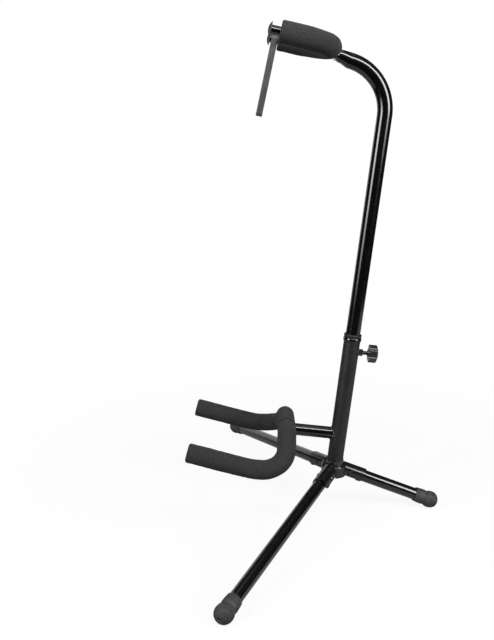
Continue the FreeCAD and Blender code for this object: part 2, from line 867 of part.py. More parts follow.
FRONT = ("front_pivot_radius", "front_pivot_drop", "front_foot_radius")
REAR = ("rear_pivot_radius", "rear_pivot_drop", "rear_foot_radius")
LEGS = {
    "right": leg_frame(num("front_leg_angle"), *map(num, FRONT)),
    "left": leg_frame(-num("front_leg_angle"), *map(num, FRONT)),
    "rear": leg_frame(180, *map(num, REAR)),
}


def channel(grow, reach, skirt, frame):
    """One channel of the hub: an arched roof over the leg and straight skirts, open below.
    The leg's frame has its +Y pointing up and inwards, so the roof is on that side."""
    half = num("leg_diameter") / 2 + num("channel_clearance") + grow
    inner_end = -num("hub_drum_diameter") / 2
    length = reach - inner_end
    roof = Part.makeCylinder(half, length, FreeCAD.Vector(0, 0, inner_end), Z)
    skirts = Part.makeBox(2 * half, skirt, length, FreeCAD.Vector(-half, -skirt, inner_end))
    body = roof.fuse(skirts)
    body.Placement = frame
    return body


def skirt_trim(reach, frame):
    """What is cut off below a channel: the lower edge runs level from the drum, drops to a
    pointed tab before the mouth and slants up to it."""
    half = num("leg_diameter")
    skirt, tab = num("channel_skirt"), num("channel_tab")
    tab_length = num("channel_tab_length")
    low = num("leg_diameter")
    end = reach + num("overrun")
    inner = -num("hub_drum_diameter")
    outline = [
        (inner, skirt), (reach - tab_length - tab, skirt), (reach - tab_length, skirt + tab),
        (reach - tab_length / 2, skirt + tab), (reach, skirt / 2), (end, skirt / 2),
        (end, low), (inner, low),
    ]
    corners = [FreeCAD.Vector(-half, -drop, along) for along, drop in outline]
    face = Part.Face(Part.makePolygon(corners + corners[:1]))
    tool = face.extrude(X * (2 * half))
    tool.Placement = frame
    return tool


def make_hub():
    wall = num("hub_wall")
    height, depth = num("hub_top_height"), num("hub_drum_depth")
    radius = num("hub_drum_diameter") / 2
    skirt = num("channel_skirt") + num("channel_tab")
    arms = [(LEGS[name][0], num("rear_channel_reach" if name == "rear"
                                else "front_channel_reach")) for name in LEGS]
    drum = Part.makeCylinder(radius, depth, Z * (height - depth))
    top = [edge for edge in drum.Edges if edge.Closed and edge.Curve.Center.z > height - wall / 2]
    drum = drum.makeFillet(num("hub_edge_radius"), top)
    hollow = Part.makeCylinder(radius - wall, depth - wall + num("overrun"),
                               Z * (height - depth - num("overrun")))
    outer = drum
    for frame, reach in arms:
        outer = outer.fuse(channel(wall, reach, skirt, frame).cut(skirt_trim(reach, frame)))
    hub = outer.cut(hollow)
    for frame, reach in arms:
        hub = hub.cut(channel(0.0, reach + num("overrun"), depth + num("overrun"), frame))
        rivet = Part.makeCylinder(num("rivet_diameter") / 2 + num("seat_clearance"),
                                  num("leg_diameter") * 2, X * -num("leg_diameter"), X)
        rivet.Placement = frame
        hub = hub.cut(rivet)
    post_hole = Part.makeCylinder(outer_radius.value + num("weld_gap"), height,
                                  Z * (-height / 2), Z)
    post_hole.Placement = post
    ring_seat = Part.makeCylinder(num("foot_ring_diameter") / 2 + num("weld_gap"),
                                  num("foot_ring_height"),
                                  FreeCAD.Vector(0, num("post_set_back"), height))
    hub = hub.cut(post_hole).cut(ring_seat)
    bracket = doc.addObject("Part::Feature", "hub_bracket")
    bracket.Shape = hub
    keep(bracket, "hub_bracket")


def make_foot_ring():
    """Collar round the foot of the post, flat on the hub and bored to the post's lean."""
    cone = doc.addObject("Part::Cone", "foot_ring_cone")
    bind(cone, Radius1=size("foot_ring_diameter") / 2, Radius2=size("foot_ring_top_diameter") / 2,
         Height=size("foot_ring_height"))
    cone.Placement = at(0, num("post_set_back"), num("hub_top_height") + num("weld_gap"))
    height = size("foot_ring_height") * 4
    bore = cylinder("foot_ring_bore", outer_radius + size("weld_gap"), height,
                    post * at(z=-height.value / 2))
    keep(cut("foot_ring", cone, bore), "foot_ring")


def make_leg(name):
    frame, length = LEGS[name]
    radius = leg_radius
    run = length - num("leg_end_setback")
    bar = cylinder(name + "_bar", radius, Size.of(run) + radius, frame * at(z=-radius.value))
    bore = cylinder(name + "_bore", radius - size("leg_wall"),
                    Size.of(run) + radius + size("overrun") * 2,
                    frame * at(z=-radius.value - num("overrun")))
    tube = cut(name + "_tube", bar, bore)
    span = size("leg_diameter") + size("overrun") * 2
    across = frame * at(x=-span.value / 2) * turned(Y, 90)
    ball = doc.addObject("Part::Sphere", name + "_nose_ball")
    bind(ball, Radius=radius + size("channel_clearance") - size("leg_nose_gap"))
    ball.Placement = frame
    nose = common(name + "_nose", cylinder(name + "_nose_roll", radius, span, across), ball)
    shank = block(name + "_shank", span, span, Size.of(run) + size("overrun"),
                  frame * at(-span.value / 2, -span.value / 2, 0))
    rounded = common(name + "_rounded", tube, fuse(name + "_reach", nose, shank))
    hole = cylinder(name + "_hole", size("rivet_diameter") / 2 + size("rivet_clearance"),
                    span, across)
    keep(cut("leg_" + name, rounded, hole), "leg_tube_" + name)


def foot_ribs(ball):
    """Corners over the front of the ball, from its side to its tip: flat lands between V grooves
    that go round it at equal steps of angle."""
    corners = []
    share = num("foot_groove_share")
    for step in range(int(num("foot_groove_count")), 0, -1):
        for turn, radius in ((step + share, ball), (step, ball - size("foot_groove_depth")),
                             (step - share, ball)):
            out, along = sine_and_cosine("foot_groove_angle", turn)
            corners.append((radius * out, radius * along))
    return corners


def make_foot(name):
    """Rubber foot: a sleeve over the tube's end and a ribbed ball with a flat where it stands."""
    frame, length = LEGS[name]
    ball = size("foot_ball_diameter") / 2
    bore = leg_radius + size("seat_clearance")
    mouth = leg_radius + size("foot_mouth_wall")
    waist = leg_radius + size("foot_waist_wall")
    waist_at = -size("foot_waist_distance")
    shoulder = -square_root(ball * ball - waist * waist)
    hole = size("foot_tip_hole") / 2
    tip = square_root(ball * ball - hole * hole)
    body = revolved("foot_body_" + name, [
        (bore, -size("foot_sleeve_length")),
        (mouth, -size("foot_sleeve_length")),
        (waist, waist_at),
        (waist, shoulder, ball, 1),
    ] + foot_ribs(ball) + [
        (hole, tip),
        (hole, tip - size("foot_tip_hole_depth")),
        (ZERO, tip - size("foot_tip_hole_depth")),
        (ZERO, -size("leg_end_setback") + size("foot_seat_gap")),
        (bore, -size("leg_end_setback") + size("foot_seat_gap")),
    ])
    body.Placement = frame * at(z=length)
    centre = body.Placement.Base
    side = size("foot_ball_diameter") * 2
    floor = block("floor_under_" + name, side, side, side,
                  at(centre.x - side.value / 2, centre.y - side.value / 2, -side.value))
    keep(cut("foot_" + name, body, floor), "foot_" + name)


def make_rivet(name):
    """Leg pivot: a pin through both skirts and the tube, with a low set head at each end."""
    frame, _ = LEGS[name]
    half = leg_radius + size("channel_clearance") + size("hub_wall")
    pin = size("rivet_diameter") / 2
    head = size("rivet_head_diameter") / 2
    crown = size("rivet_crown_diameter") / 2
    top = half + size("rivet_head_height")
    keep(revolved("leg_rivet_" + name, [
        (ZERO, -top),
        (crown, -top),
        (head, -half),
        (pin, -half),
        (pin, half),
        (head, half),
        (crown, top),
        (ZERO, top),
    ]), "leg_rivet_" + name, frame * turned(Y, 90))


# Clamp

def make_clamp_nut():
    prism = doc.addObject("Part::Prism", "nut_blank")
    prism.Polygon = 6
    bind(prism, Circumradius=size("nut_width") / math.sqrt(3), Height=outer_radius / 2
         + size("nut_height"))
    prism.Placement = clamp * at(z=outer_radius.value / 2)
    saddle = cylinder("nut_saddle", outer_radius + size("weld_gap"), size("nut_width") * 2,
                      post * at(z=clamp_up - num("nut_width")))
    bore = cylinder("nut_bore", size("screw_diameter") / 2 + size("screw_clearance"),
                    outer_radius * 2, clamp)
    keep(cut("clamp_nut", cut("nut_seated", prism, saddle), bore), "clamp_nut")


def make_clamp_screw():
    radius = size("screw_diameter") / 2
    chamfer = size("screw_tip_chamfer")
    tip = inner_radius + size("screw_tip_gap")
    end = size("knob_distance") + size("knob_socket_depth") - size("screw_tip_gap")
    keep(revolved("clamp_screw", [
        (ZERO, tip),
        (radius - chamfer, tip),
        (radius, tip + chamfer),
        (radius, end),
        (ZERO, end),
    ]), "clamp_screw", clamp)


def make_clamp_knob():
    face = size("knob_distance")
    radius = size("knob_diameter") / 2
    hub = size("knob_hub_diameter") / 2
    bore = size("screw_diameter") / 2 + size("screw_clearance")
    rim = face + size("knob_height")
    crown = arc_radius(radius * 2, size("knob_crown"))
    body = revolved("clamp_knob", [
        (bore, face - size("knob_hub_height")),
        (hub, face - size("knob_hub_height")),
        (hub, face),
        (radius, face),
        (radius, rim, crown, 1),
        (ZERO, rim + size("knob_crown")),
        (ZERO, face + size("knob_socket_depth")),
        (bore, face + size("knob_socket_depth")),
    ])
    flute = new_sketch(body, "knob_flute", "XY_Plane")
    flute_radius = size("knob_flute_diameter") / 2
    draw_circle(flute, radius + flute_radius - size("knob_flute_bite"), ZERO, flute_radius)
    pocket = body.newObject("PartDesign::Pocket", "knob_flute_pocket")
    pocket.Profile = flute
    pocket.Reversed = True
    bind(pocket, Length=rim + size("knob_crown") + size("overrun"))
    ring = body.newObject("PartDesign::PolarPattern", "knob_flute_count")
    ring.Originals = [pocket]
    ring.Axis = (flute, ["N_Axis"])
    ring.Angle = 360
    bind(ring, Occurrences=size("knob_flute_count"))
    body.Tip = ring
    keep(body, "clamp_knob", clamp)


make_outer_tube()
make_mouth_bush()
make_glide_plug()
make_inner_tube()
make_yoke_rod()
for name, side in (("right", 1), ("left", -1)):
    make_yoke_foam("yoke_foam_" + name, side)
    make_yoke_cap("yoke_cap_" + name, side)
    make_cradle_foam("cradle_foam_" + name, side)
    make_cradle_cap("cradle_cap_" + name, side)
make_neck_band()
make_cradle_arm()
make_cradle_rod()
make_hub()
make_foot_ring()
for name in LEGS:
    make_leg(name)
    make_foot(name)
    make_rivet(name)
make_clamp_nut()
make_clamp_screw()
make_clamp_knob()
doc.recompute()

# Every object has to be sound before anything is written
for thing in doc.Objects:
    if "Invalid" in thing.State or "Error" in thing.State:
        raise RuntimeError(f"{thing.Label} failed: {thing.State}")
for thing in pieces:
    shape = thing.Shape
    if shape.isNull() or not shape.isValid() or not shape.Solids:
        raise RuntimeError(f"{thing.Label} has no valid solid")

os.makedirs("parts", exist_ok=True)
for thing in pieces:
    thing.Shape.exportStep(os.path.join("parts", thing.Label + ".step"))
    print(f"{thing.Label}: {len(thing.Shape.Solids)} solid, {thing.Shape.Volume:.0f} mm3")
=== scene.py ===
import json
import math

import bpy
import numpy as np
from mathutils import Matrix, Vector


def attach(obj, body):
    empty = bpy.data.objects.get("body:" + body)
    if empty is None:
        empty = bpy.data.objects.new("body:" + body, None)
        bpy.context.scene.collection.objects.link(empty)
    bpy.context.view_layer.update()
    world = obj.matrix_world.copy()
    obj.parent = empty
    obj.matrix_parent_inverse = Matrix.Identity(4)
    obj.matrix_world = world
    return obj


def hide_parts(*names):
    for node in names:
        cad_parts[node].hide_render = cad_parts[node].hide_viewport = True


# Folding tripod guitar stand: gloss black tubes, a satin lower post, foam sleeves on the yoke and
# the cradle, rubber feet, caps and neck band. Metres. +Z is up, the guitar side faces -Y, and
# right (+X) and left (-X) are as seen from the guitar side.

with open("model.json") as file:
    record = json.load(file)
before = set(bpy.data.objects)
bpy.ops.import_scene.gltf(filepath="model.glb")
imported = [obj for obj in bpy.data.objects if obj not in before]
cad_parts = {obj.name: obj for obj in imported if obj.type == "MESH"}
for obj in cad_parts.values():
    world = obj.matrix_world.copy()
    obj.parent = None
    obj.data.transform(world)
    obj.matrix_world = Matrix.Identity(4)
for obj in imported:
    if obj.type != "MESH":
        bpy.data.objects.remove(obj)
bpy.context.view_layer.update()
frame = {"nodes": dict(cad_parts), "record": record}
nodes = frame["nodes"]

MM = 0.001

# Post: the lower tube with its rolled rim, and the upper tube that slides in it
POST_LEAN = math.radians(5.9)
POST_FOOT = np.array([0.0, 1.5, 80.0]) * MM
TUBE_WALL = 1.2 * MM
LOWER_RADIUS = 12.7 * MM
LOWER_TOP = 207.9 * MM
LOWER_SINK = 8.0 * MM
RIM_HEIGHT = 6.4 * MM
RIM_PROUD = 1.3 * MM
UPPER_RADIUS = 11.1 * MM
UPPER_START = 77.9 * MM
NECK_BEND_START = 538.0 * MM
NECK_BEND_RADIUS = 71.0 * MM
NECK_BEND_ANGLE = math.radians(80.7)

# The upper tube's pressed end: the distance past the bend, the tube's height there, and how far
# the middle of its section is lifted
PRESS_STOPS = np.array([0.0, 14.5, 25.0, 33.0, 42.0]) * MM
PRESS_HEIGHTS = np.array([22.2, 18.2, 7.6, 2.8, 2.8]) * MM
PRESS_LIFTS = np.array([0.0, 2.0, 0.0, 2.4, 2.4]) * MM

# Yoke: its rod lies on the pressed end, at a distance past the bend and a seat over the tube's
# axis. Its foam ends at the reach, and past it the pegs are bare up to their caps.
ROD_RADIUS = 6.0 * MM
ROD_DISTANCE = 30.2 * MM
ROD_SEAT = 9.85 * MM
YOKE_RISE = math.radians(6.0)
YOKE_HALF = 55.0 * MM
YOKE_REACH = 74.6 * MM
PEG_BARE = 12.4 * MM
PEG_IN_CAP = 2.0 * MM

# Cradle arm: a tube from the post, pressed flat at its end under the cradle's rod
ARM_RADIUS = 9.5 * MM
ARM_HEIGHT = 47.0 * MM
ARM_START = 13.5 * MM
ARM_END = 90.8 * MM
ARM_PRESS_STOPS = np.array([0.0, 69.8, 79.8, 90.8]) * MM
ARM_PRESS_HEIGHTS = np.array([19.0, 19.0, 2.8, 2.8]) * MM

# Cradle: a crossbar that drops at both ends, and from there a heel and a raised toe forward.
# The seam between the two sleeves is right of the middle: a slit, with a neck in it.
CRADLE_REACH = 85.3 * MM
CRADLE_SEAT = 7.45 * MM
CRADLE_HALF = 93.0 * MM
CRANK_HALF = 40.0 * MM
CRADLE_DROP = 37.6 * MM
HEEL_LENGTH = 50.0 * MM
HEEL_FALL = math.radians(2.6)
TOE_LENGTH = 99.5 * MM
TOE_RISE = math.radians(9.4)
CRADLE_BENDS = np.array([22.0, 37.0, 110.0]) * MM
CRADLE_SEAM = 12.0 * MM
SEAM_SLIT = 2.6 * MM
SEAM_NECK = 2.9 * MM

# Foam sleeves: the rounding of their ends, with the seam's by side (1 right, -1 left), the neck
# at an end without a groove, the soft relief of the skin, and how far round a bend's folds reach,
# in radians
FOAM_BORE = ROD_RADIUS + 0.1 * MM
YOKE_FOAM_RADIUS = 15.0 * MM
CRADLE_FOAM_RADIUS = 14.5 * MM
YOKE_EDGE = 2.2 * MM
TOE_EDGE = 3.2 * MM
SEAM_EDGES = {1: 3.6 * MM, -1: 0.5 * MM}
PLAIN_NECK = 0.05 * MM
SWELL_HEIGHT, SWELL_SIZE = 0.35 * MM, 22 * MM
DIMPLE_HEIGHT, DIMPLE_SIZE = 0.18 * MM, 7 * MM
FOLD_SPREAD = 0.8

# Legs: each one's azimuth from the front, its pivot's radius and height, and its foot's radius.
# The upper end stays inside a ball, the nose, about the pivot.
FRONT_AZIMUTH = math.radians(61.4)
LEGS = {
    "right": (FRONT_AZIMUTH, 34.0 * MM, 65.2 * MM, 343.8 * MM),
    "left": (-FRONT_AZIMUTH, 34.0 * MM, 65.2 * MM, 343.8 * MM),
    "rear": (math.pi, 25.5 * MM, 62.6 * MM, 156.8 * MM),
}
LEG_RADIUS = 9.5 * MM
LEG_NOSE = 10.15 * MM
LEG_SETBACK = 3.0 * MM

# Feet: a boot on the leg and a ribbed ball. The outlines hold a radius and a distance past the
# ball's centre, and the ribs are counted in steps from the ball's tip.
BALL_RADIUS = 13.3 * MM
BALL_HEIGHT = 12.5 * MM
BALL_FULLNESS = 2.25
BALL_TILT = math.radians(11)
BALL_BACK, BALL_TIP = math.radians(139), math.radians(7.5)
RIB_STEP = math.radians(12)
RIB_WIDTH = math.radians(1.7)
RIB_DEPTH = 0.75 * MM
RIB_FIRST, RIB_LAST = 0.6, 7.5
BOOT_OUTLINE = np.array([[9.55, -5.0], [9.55, -26.0], [10.5, -26.5], [11.1, -25.8],
                         [11.6, -21.0], [11.9, -15.0], [11.8, -11.0], [10.9, -9.4],
                         [10.4, -8.0], [8.0, -6.0]]) * MM
PIT_OUTLINE = np.array([[1.45, 12.9], [1.3, 12.0], [1.2, 8.5], [0.3, 8.4], [0.3, -8.0],
                        [7.0, -9.0]]) * MM

# Neck band
BAND_LENGTH = 107.3 * MM
BAND_WIDTH = 9.7 * MM
BAND_THICKNESS = 2.0 * MM
BAND_TURN = 2.4 * MM
BAND_GAP = 0.6 * MM
BAND_CLEARANCE = 0.3 * MM
BAND_SQUARENESS = 6

# Weld bead: how far its middle is off the two tubes, and its ripples
WELD_RADIUS = 1.1 * MM
WELD_OFF_ARM = 0.4 * MM
WELD_OFF_POST = 0.3 * MM
WELD_RIPPLE = 0.12

# Fineness of the meshes: steps along a line, and counts of points
TUBE_STEP, ARM_STEP, BAND_STEP = 2.0 * MM, 1.5 * MM, 1.5 * MM
YOKE_SLEEVE_STEP, CRADLE_SLEEVE_STEP = 1.0 * MM, 1.1 * MM
WELD_STEP = 0.35 * WELD_RADIUS
ROD_AROUND, ARM_AROUND, TUBE_AROUND, POST_AROUND = 40, 64, 72, 96
SLEEVE_AROUND, BALL_AROUND, BAND_AROUND, WELD_AROUND = 96, 128, 40, 14
ARC_POINTS, TURN_POINTS, RIM_POINTS, BALL_POINTS, WELD_POINTS = 40, 24, 25, 230, 120
SHARP_ANGLE = math.radians(38)
SAME_SPOT = 0.0001 * MM

# The photograph's frame: pixels, and a sensor in millimetres
IMAGE_HEIGHT = 640
FOCAL_PIXELS = 757.7
SENSOR_HEIGHT = 24.0
EYE = np.array([1125.7, -125.6, 606.4]) * MM
EYE_AZIMUTH = math.radians(0.73)
EYE_PITCH = math.radians(14.6)

# The studio, in metres: paper that the camera sees as plain white, but for a share of its own
# shading near the stand, a card for the glosses, two standing softboxes and a dark room
PAPER_FRONT, PAPER_BACK, PAPER_HALF = 0.45, -2.2, 1.0
PAPER_NEAR, PAPER_FAR = 0.35, 0.75
PAPER_LIGHT_NEAR = 0.9
PAPER_GREY, PAPER_WHITE = 0.04, 0.97
PAPER_IN_GLOSS = 0.4
CARD_DISTANCE = 1.6
CARD_AZIMUTH = math.radians(203)
CARD_WIDTH, CARD_HEIGHT = 1.9, 0.8
CARD_GREY, CARD_WHITE = 0.12, 0.83
SOFTBOX_DISTANCE = 2.2
SOFTBOX_WIDTH = 0.95
ROOM_DARK, ROOM_LIGHT = 0.02, 0.07

RIGHT = np.array([1.0, 0.0, 0.0])
UP_POST = np.array([0.0, math.sin(POST_LEAN), math.cos(POST_LEAN)])
BACK = np.array([0.0, math.cos(POST_LEAN), -math.sin(POST_LEAN)])


def on_post(across, back, up):
    """A place given across, behind and up the post: foot + across·right + back·rear + up·post."""
    across, back, up = np.broadcast_arrays(across, back, up)
    return (POST_FOOT + across[..., None] * RIGHT + back[..., None] * BACK
            + up[..., None] * UP_POST)


# Mesh making

def unit(v):
    """Vectors of length 1."""
    return v / np.linalg.norm(v, axis=-1, keepdims=True)


def circle(count):
    """Even angles round a circle."""
    return np.linspace(0, 2 * math.pi, count, endpoint=False)


def in_scene(name, data):
    """A new object in the scene for a mesh, a lamp or a camera."""
    thing = bpy.data.objects.new(name, data)
    bpy.context.scene.collection.objects.link(thing)
    return thing


def smooth_piece(name, vertices, faces):
    """A piece that shades smoothly, but for its edges past the sharp angle."""
    mesh = bpy.data.meshes.new(name)
    mesh.from_pydata(vertices.tolist(), [], faces)
    mesh.shade_smooth()
    mesh.set_sharp_from_angle(angle=SHARP_ANGLE)
    return in_scene(name, mesh)


def route(corners, radii):
    """Straight runs through the corners, rounded at the inner ones: an arc's points are
    centre + (enter - centre)·cos t + heading·radius·sin t, for t from 0 to the turn."""
    corners = np.asarray(corners, float)
    points = [corners[0]]
    for before, corner, after, radius in zip(corners, corners[1:], corners[2:], radii):
        heading, leaving = unit(corner - before), unit(after - corner)
        turn = math.acos(float(np.clip(heading @ leaving, -1, 1)))
        enter = corner - heading * radius * math.tan(turn / 2)
        centre = corner + unit(leaving - heading) * radius / math.cos(turn / 2)
        t = np.linspace(0, turn, max(int(turn / math.radians(2.5)), 4))[:, None]
        points.extend(centre + (enter - centre) * np.cos(t) + heading * radius * np.sin(t))
    points.append(corners[-1])
    return np.array(points)


def lengths(points):
    """Distance along the line at each of its points."""
    return np.concatenate([[0.0], np.cumsum(np.linalg.norm(np.diff(points, axis=0), axis=1))])


def spaced(points, step):
    """The same line with points at an even step along it."""
    along = lengths(points)
    even = np.linspace(0, along[-1], max(int(along[-1] / step), 2) + 1)
    return np.stack([np.interp(even, along, points[:, k]) for k in range(3)], axis=1)


def rings(points, side, across, rise):
    """Rings round a line: point + across·side + rise·(tangent × side). The arrays across and
    rise have a row for each point of the line, or one for all."""
    tangent = unit(np.gradient(points, axis=0))
    side = unit(side - (tangent * side).sum(1, keepdims=True) * tangent)
    top = np.cross(tangent, side)
    return points[:, None] + across[..., None] * side[:, None] + rise[..., None] * top[:, None]


def skin(name, grid, closed=False):
    """A mesh over a grid of rings: a quad between each four neighbours, wrapped round each ring,
    and either wrapped from the last ring to the first or closed by a point at each end."""
    count, around = grid.shape[:2]
    vertices = grid.reshape(-1, 3)
    row, column = np.meshgrid(np.arange(count if closed else count - 1), np.arange(around),
                              indexing="ij")
    after, beside = (row + 1) % count, (column + 1) % around
    quads = np.stack([row * around + column, row * around + beside,
                      after * around + beside, after * around + column], axis=-1).reshape(-1, 4)
    faces = quads.tolist()
    if not closed:
        ends = [grid[0].mean(0), grid[-1].mean(0)]
        vertices = np.concatenate([vertices, ends])
        ring = np.arange(around)
        following = (ring + 1) % around
        first = np.full(around, count * around)
        last = (count - 1) * around
        faces += np.stack([first, following, ring], axis=-1).tolist()
        faces += np.stack([first + 1, last + ring, last + following], axis=-1).tolist()
    a, b, c, d = (vertices[quads[:, k]] for k in range(4))
    volume = (np.einsum("ij,ij->i", a, np.cross(b, c)).sum()
              + np.einsum("ij,ij->i", a, np.cross(c, d)).sum())
    if volume < 0:
        faces = [face[::-1] for face in faces]
    return smooth_piece(name, vertices, faces)


def flattened_section(heights, lifts, radius, around):
    """A round tube pressed to a height: its ends stay half circles, and the girth it gives up
    goes into a flat run, half of which is (radius - height / 2)·pi / 2. The flat run is spread
    over the ring by clip(3·cos a, -1, 1)."""
    a = circle(around)
    half = np.asarray(heights)[:, None] / 2
    flat = (radius - half) * math.pi / 2
    across = half * np.cos(a) + flat * np.clip(3 * np.cos(a), -1, 1)
    return across, half * np.sin(a) + np.asarray(lifts)[:, None]


def eased(x, stops, values):
    """A smooth run through the stops: between two it follows t·t·(3 - 2·t)."""
    stops, values = np.asarray(stops), np.asarray(values)
    k = np.clip(np.searchsorted(stops, x) - 1, 0, len(stops) - 2)
    t = np.clip((x - stops[k]) / (stops[k + 1] - stops[k]), 0, 1)
    return values[k] + (values[k + 1] - values[k]) * t * t * (3 - 2 * t)


def closed_tangent(points):
    """Unit directions along a closed line, each from the point before to the point after."""
    return unit(np.roll(points, -1, axis=0) - np.roll(points, 1, axis=0))


def turned(name, profile, origin, axis, side, around=POST_AROUND):
    """A closed profile of (radius, height) pairs turned about an axis: origin + height·axis +
    radius·(side·cos a + (axis × side)·sin a)."""
    profile = np.asarray(profile)
    a = circle(around)
    wheel = np.cos(a)[:, None] * side + np.sin(a)[:, None] * np.cross(axis, side)
    grid = origin + profile[:, 1][:, None, None] * axis + profile[:, 0][:, None, None] * wheel
    return skin(name, grid, closed=True)


def hills(points, size, seed):
    """Soft random hills from -1 to 1: six crossed sine waves of about that size."""
    rng = np.random.default_rng(seed)
    total = np.zeros(points.shape[:-1])
    for _ in range(6):
        wave = unit(rng.normal(size=3)) * 2 * math.pi / (size * rng.uniform(0.7, 1.4))
        total = total + np.sin(points @ wave + rng.uniform(0, 2 * math.pi))
    return total / 6


def place(piece, body, slot, finish, *replaced):
    """Give a piece its body and its finish, and hide the nodes that it stands for. Its slot is not
    used.
    """
    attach(piece, body)
    piece.data.materials.clear()
    piece.data.materials.append(finish)
    if replaced:
        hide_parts(*replaced)


# Camera

def make_camera():
    """The photograph's view. Its lens is focal pixels · sensor / image height."""
    data = bpy.data.cameras.new("camera")
    data.sensor_fit = "VERTICAL"
    data.sensor_height = SENSOR_HEIGHT
    data.lens = FOCAL_PIXELS * SENSOR_HEIGHT / IMAGE_HEIGHT
    data.clip_start = 0.05
    camera = in_scene("camera", data)
    camera.location = EYE
    camera.rotation_euler = (math.pi / 2 - EYE_PITCH, 0, math.pi / 2 + EYE_AZIMUTH)
    bpy.context.scene.camera = camera


make_camera()


# Finishes

def new_finish(name):
    """A plain finish, with its tree, its shader and a mapping of Object coordinates."""
    finish = bpy.data.materials.new(name)
    finish.use_nodes = True
    tree = finish.node_tree
    shader = tree.nodes["Principled BSDF"]
    places = tree.nodes.new("ShaderNodeTexCoord")
    mapping = tree.nodes.new("ShaderNodeMapping")
    tree.links.new(places.outputs["Object"], mapping.inputs["Vector"])
    return finish, tree, shader, mapping


def noise(tree, mapping, scale, detail=2.0, roughness=0.5):
    """Soft noise from 0 to 1, with about that many lumps to the metre."""
    node = tree.nodes.new("ShaderNodeTexNoise")
    node.inputs["Scale"].default_value = scale
    node.inputs["Detail"].default_value = detail
    node.inputs["Roughness"].default_value = roughness
    tree.links.new(mapping.outputs["Vector"], node.inputs["Vector"])
    return node.outputs["Fac"]


def spread(tree, value, low, high, from_low=0.35, from_high=0.65):
    """The value's run from from_low to from_high, carried over to low and high."""
    node = tree.nodes.new("ShaderNodeMapRange")
    node.inputs["From Min"].default_value = from_low
    node.inputs["From Max"].default_value = from_high
    node.inputs["To Min"].default_value = low
    node.inputs["To Max"].default_value = high
    tree.links.new(value, node.inputs["Value"])
    return node.outputs["Result"]


def blended(tree, value, dark, light):
    """A colour from dark at 0 to light at 1."""
    node = tree.nodes.new("ShaderNodeMix")
    node.data_type = "RGBA"
    node.inputs["A"].default_value = (*dark, 1)
    node.inputs["B"].default_value = (*light, 1)
    tree.links.new(value, node.inputs["Factor"])
    return node.outputs["Result"]


def bump(tree, value, distance, strength, under=None):
    """Relief of that height in metres, over another one where it is given."""
    node = tree.nodes.new("ShaderNodeBump")
    node.inputs["Distance"].default_value = distance
    node.inputs["Strength"].default_value = strength
    tree.links.new(value, node.inputs["Height"])
    if under is not None:
        tree.links.new(under, node.inputs["Normal"])
    return node.outputs["Normal"]


def enamel(name, dark, light, rough, peel_size, peel, coat):
    """Baked enamel: colour and gloss drift a little over the surface, over a fine orange peel."""
    finish, tree, shader, mapping = new_finish(name)
    drift = noise(tree, mapping, scale=45.0, detail=3.0)
    smudge = noise(tree, mapping, scale=160.0, detail=4.0, roughness=0.6)
    tree.links.new(blended(tree, spread(tree, drift, 0, 1), dark, light),
                   shader.inputs["Base Color"])
    tree.links.new(spread(tree, smudge, *rough), shader.inputs["Roughness"])
    orange = noise(tree, mapping, scale=1 / peel_size, detail=1.0)
    tree.links.new(bump(tree, orange, distance=0.0002, strength=peel), shader.inputs["Normal"])
    shader.inputs["Coat Weight"].default_value = coat
    shader.inputs["Coat Roughness"].default_value = 0.08
    return finish


def foam_finish(name, dark, light):
    """Closed-cell foam: a mottled charcoal skin with fine open cells and a soft dusty sheen. Where
    the attribute "cut" is 1, on the sleeves' cut ends, their necks and their bores, it is painted
    near
    black: painted shade for the seam's groove and the bores."""
    finish, tree, shader, mapping = new_finish(name)
    cells = tree.nodes.new("ShaderNodeTexVoronoi")
    cells.inputs["Scale"].default_value = 1150.0
    tree.links.new(mapping.outputs["Vector"], cells.inputs["Vector"])
    grain = noise(tree, mapping, scale=1500.0, detail=3.0, roughness=0.65)
    mottle = noise(tree, mapping, scale=600.0, detail=4.0, roughness=0.65)
    base = blended(tree, spread(tree, mottle, 0, 1), dark, light)
    speck = tree.nodes.new("ShaderNodeMix")
    speck.data_type = "RGBA"
    speck.blend_type = "MULTIPLY"
    speck.inputs["B"].default_value = (0.45, 0.45, 0.45, 1)
    tree.links.new(spread(tree, cells.outputs["Distance"], 1, 0, from_low=0.1, from_high=0.55),
                   speck.inputs["Factor"])
    tree.links.new(base, speck.inputs["A"])
    cut = tree.nodes.new("ShaderNodeAttribute")
    cut.attribute_name = "cut"
    ends = tree.nodes.new("ShaderNodeMix")
    ends.data_type = "RGBA"
    # Painted shade: the cut ends, the neck and the bores are painted near black, standing in for
    # the shade in the seam's groove
    ends.inputs["B"].default_value = (0.004, 0.004, 0.004, 1)
    tree.links.new(cut.outputs["Fac"], ends.inputs["Factor"])
    tree.links.new(speck.outputs["Result"], ends.inputs["A"])
    tree.links.new(ends.outputs["Result"], shader.inputs["Base Color"])
    tree.links.new(spread(tree, grain, 0.82, 0.98), shader.inputs["Roughness"])
    pores = bump(tree, cells.outputs["Distance"], distance=0.0003, strength=0.5)
    tree.links.new(bump(tree, grain, distance=0.0003, strength=0.6, under=pores),
                   shader.inputs["Normal"])
    shader.inputs["Sheen Weight"].default_value = 0.05
    shader.inputs["Sheen Roughness"].default_value = 0.6
    shader.inputs["Specular IOR Level"].default_value = 0.3
    return finish


def rubber(name, dark, light, rough, grain_size, grain_depth):
    """Moulded rubber: a dull dark grey with a fine grain and faint bloom."""
    finish, tree, shader, mapping = new_finish(name)
    bloom = noise(tree, mapping, scale=120.0, detail=4.0, roughness=0.6)
    grain = noise(tree, mapping, scale=1 / grain_size)
    tree.links.new(blended(tree, spread(tree, bloom, 0, 1), dark, light),
                   shader.inputs["Base Color"])
    tree.links.new(spread(tree, grain, rough - 0.08, rough + 0.08), shader.inputs["Roughness"])
    tree.links.new(bump(tree, grain, distance=grain_depth, strength=0.35),
                   shader.inputs["Normal"])
    shader.inputs["Specular IOR Level"].default_value = 0.4
    return finish


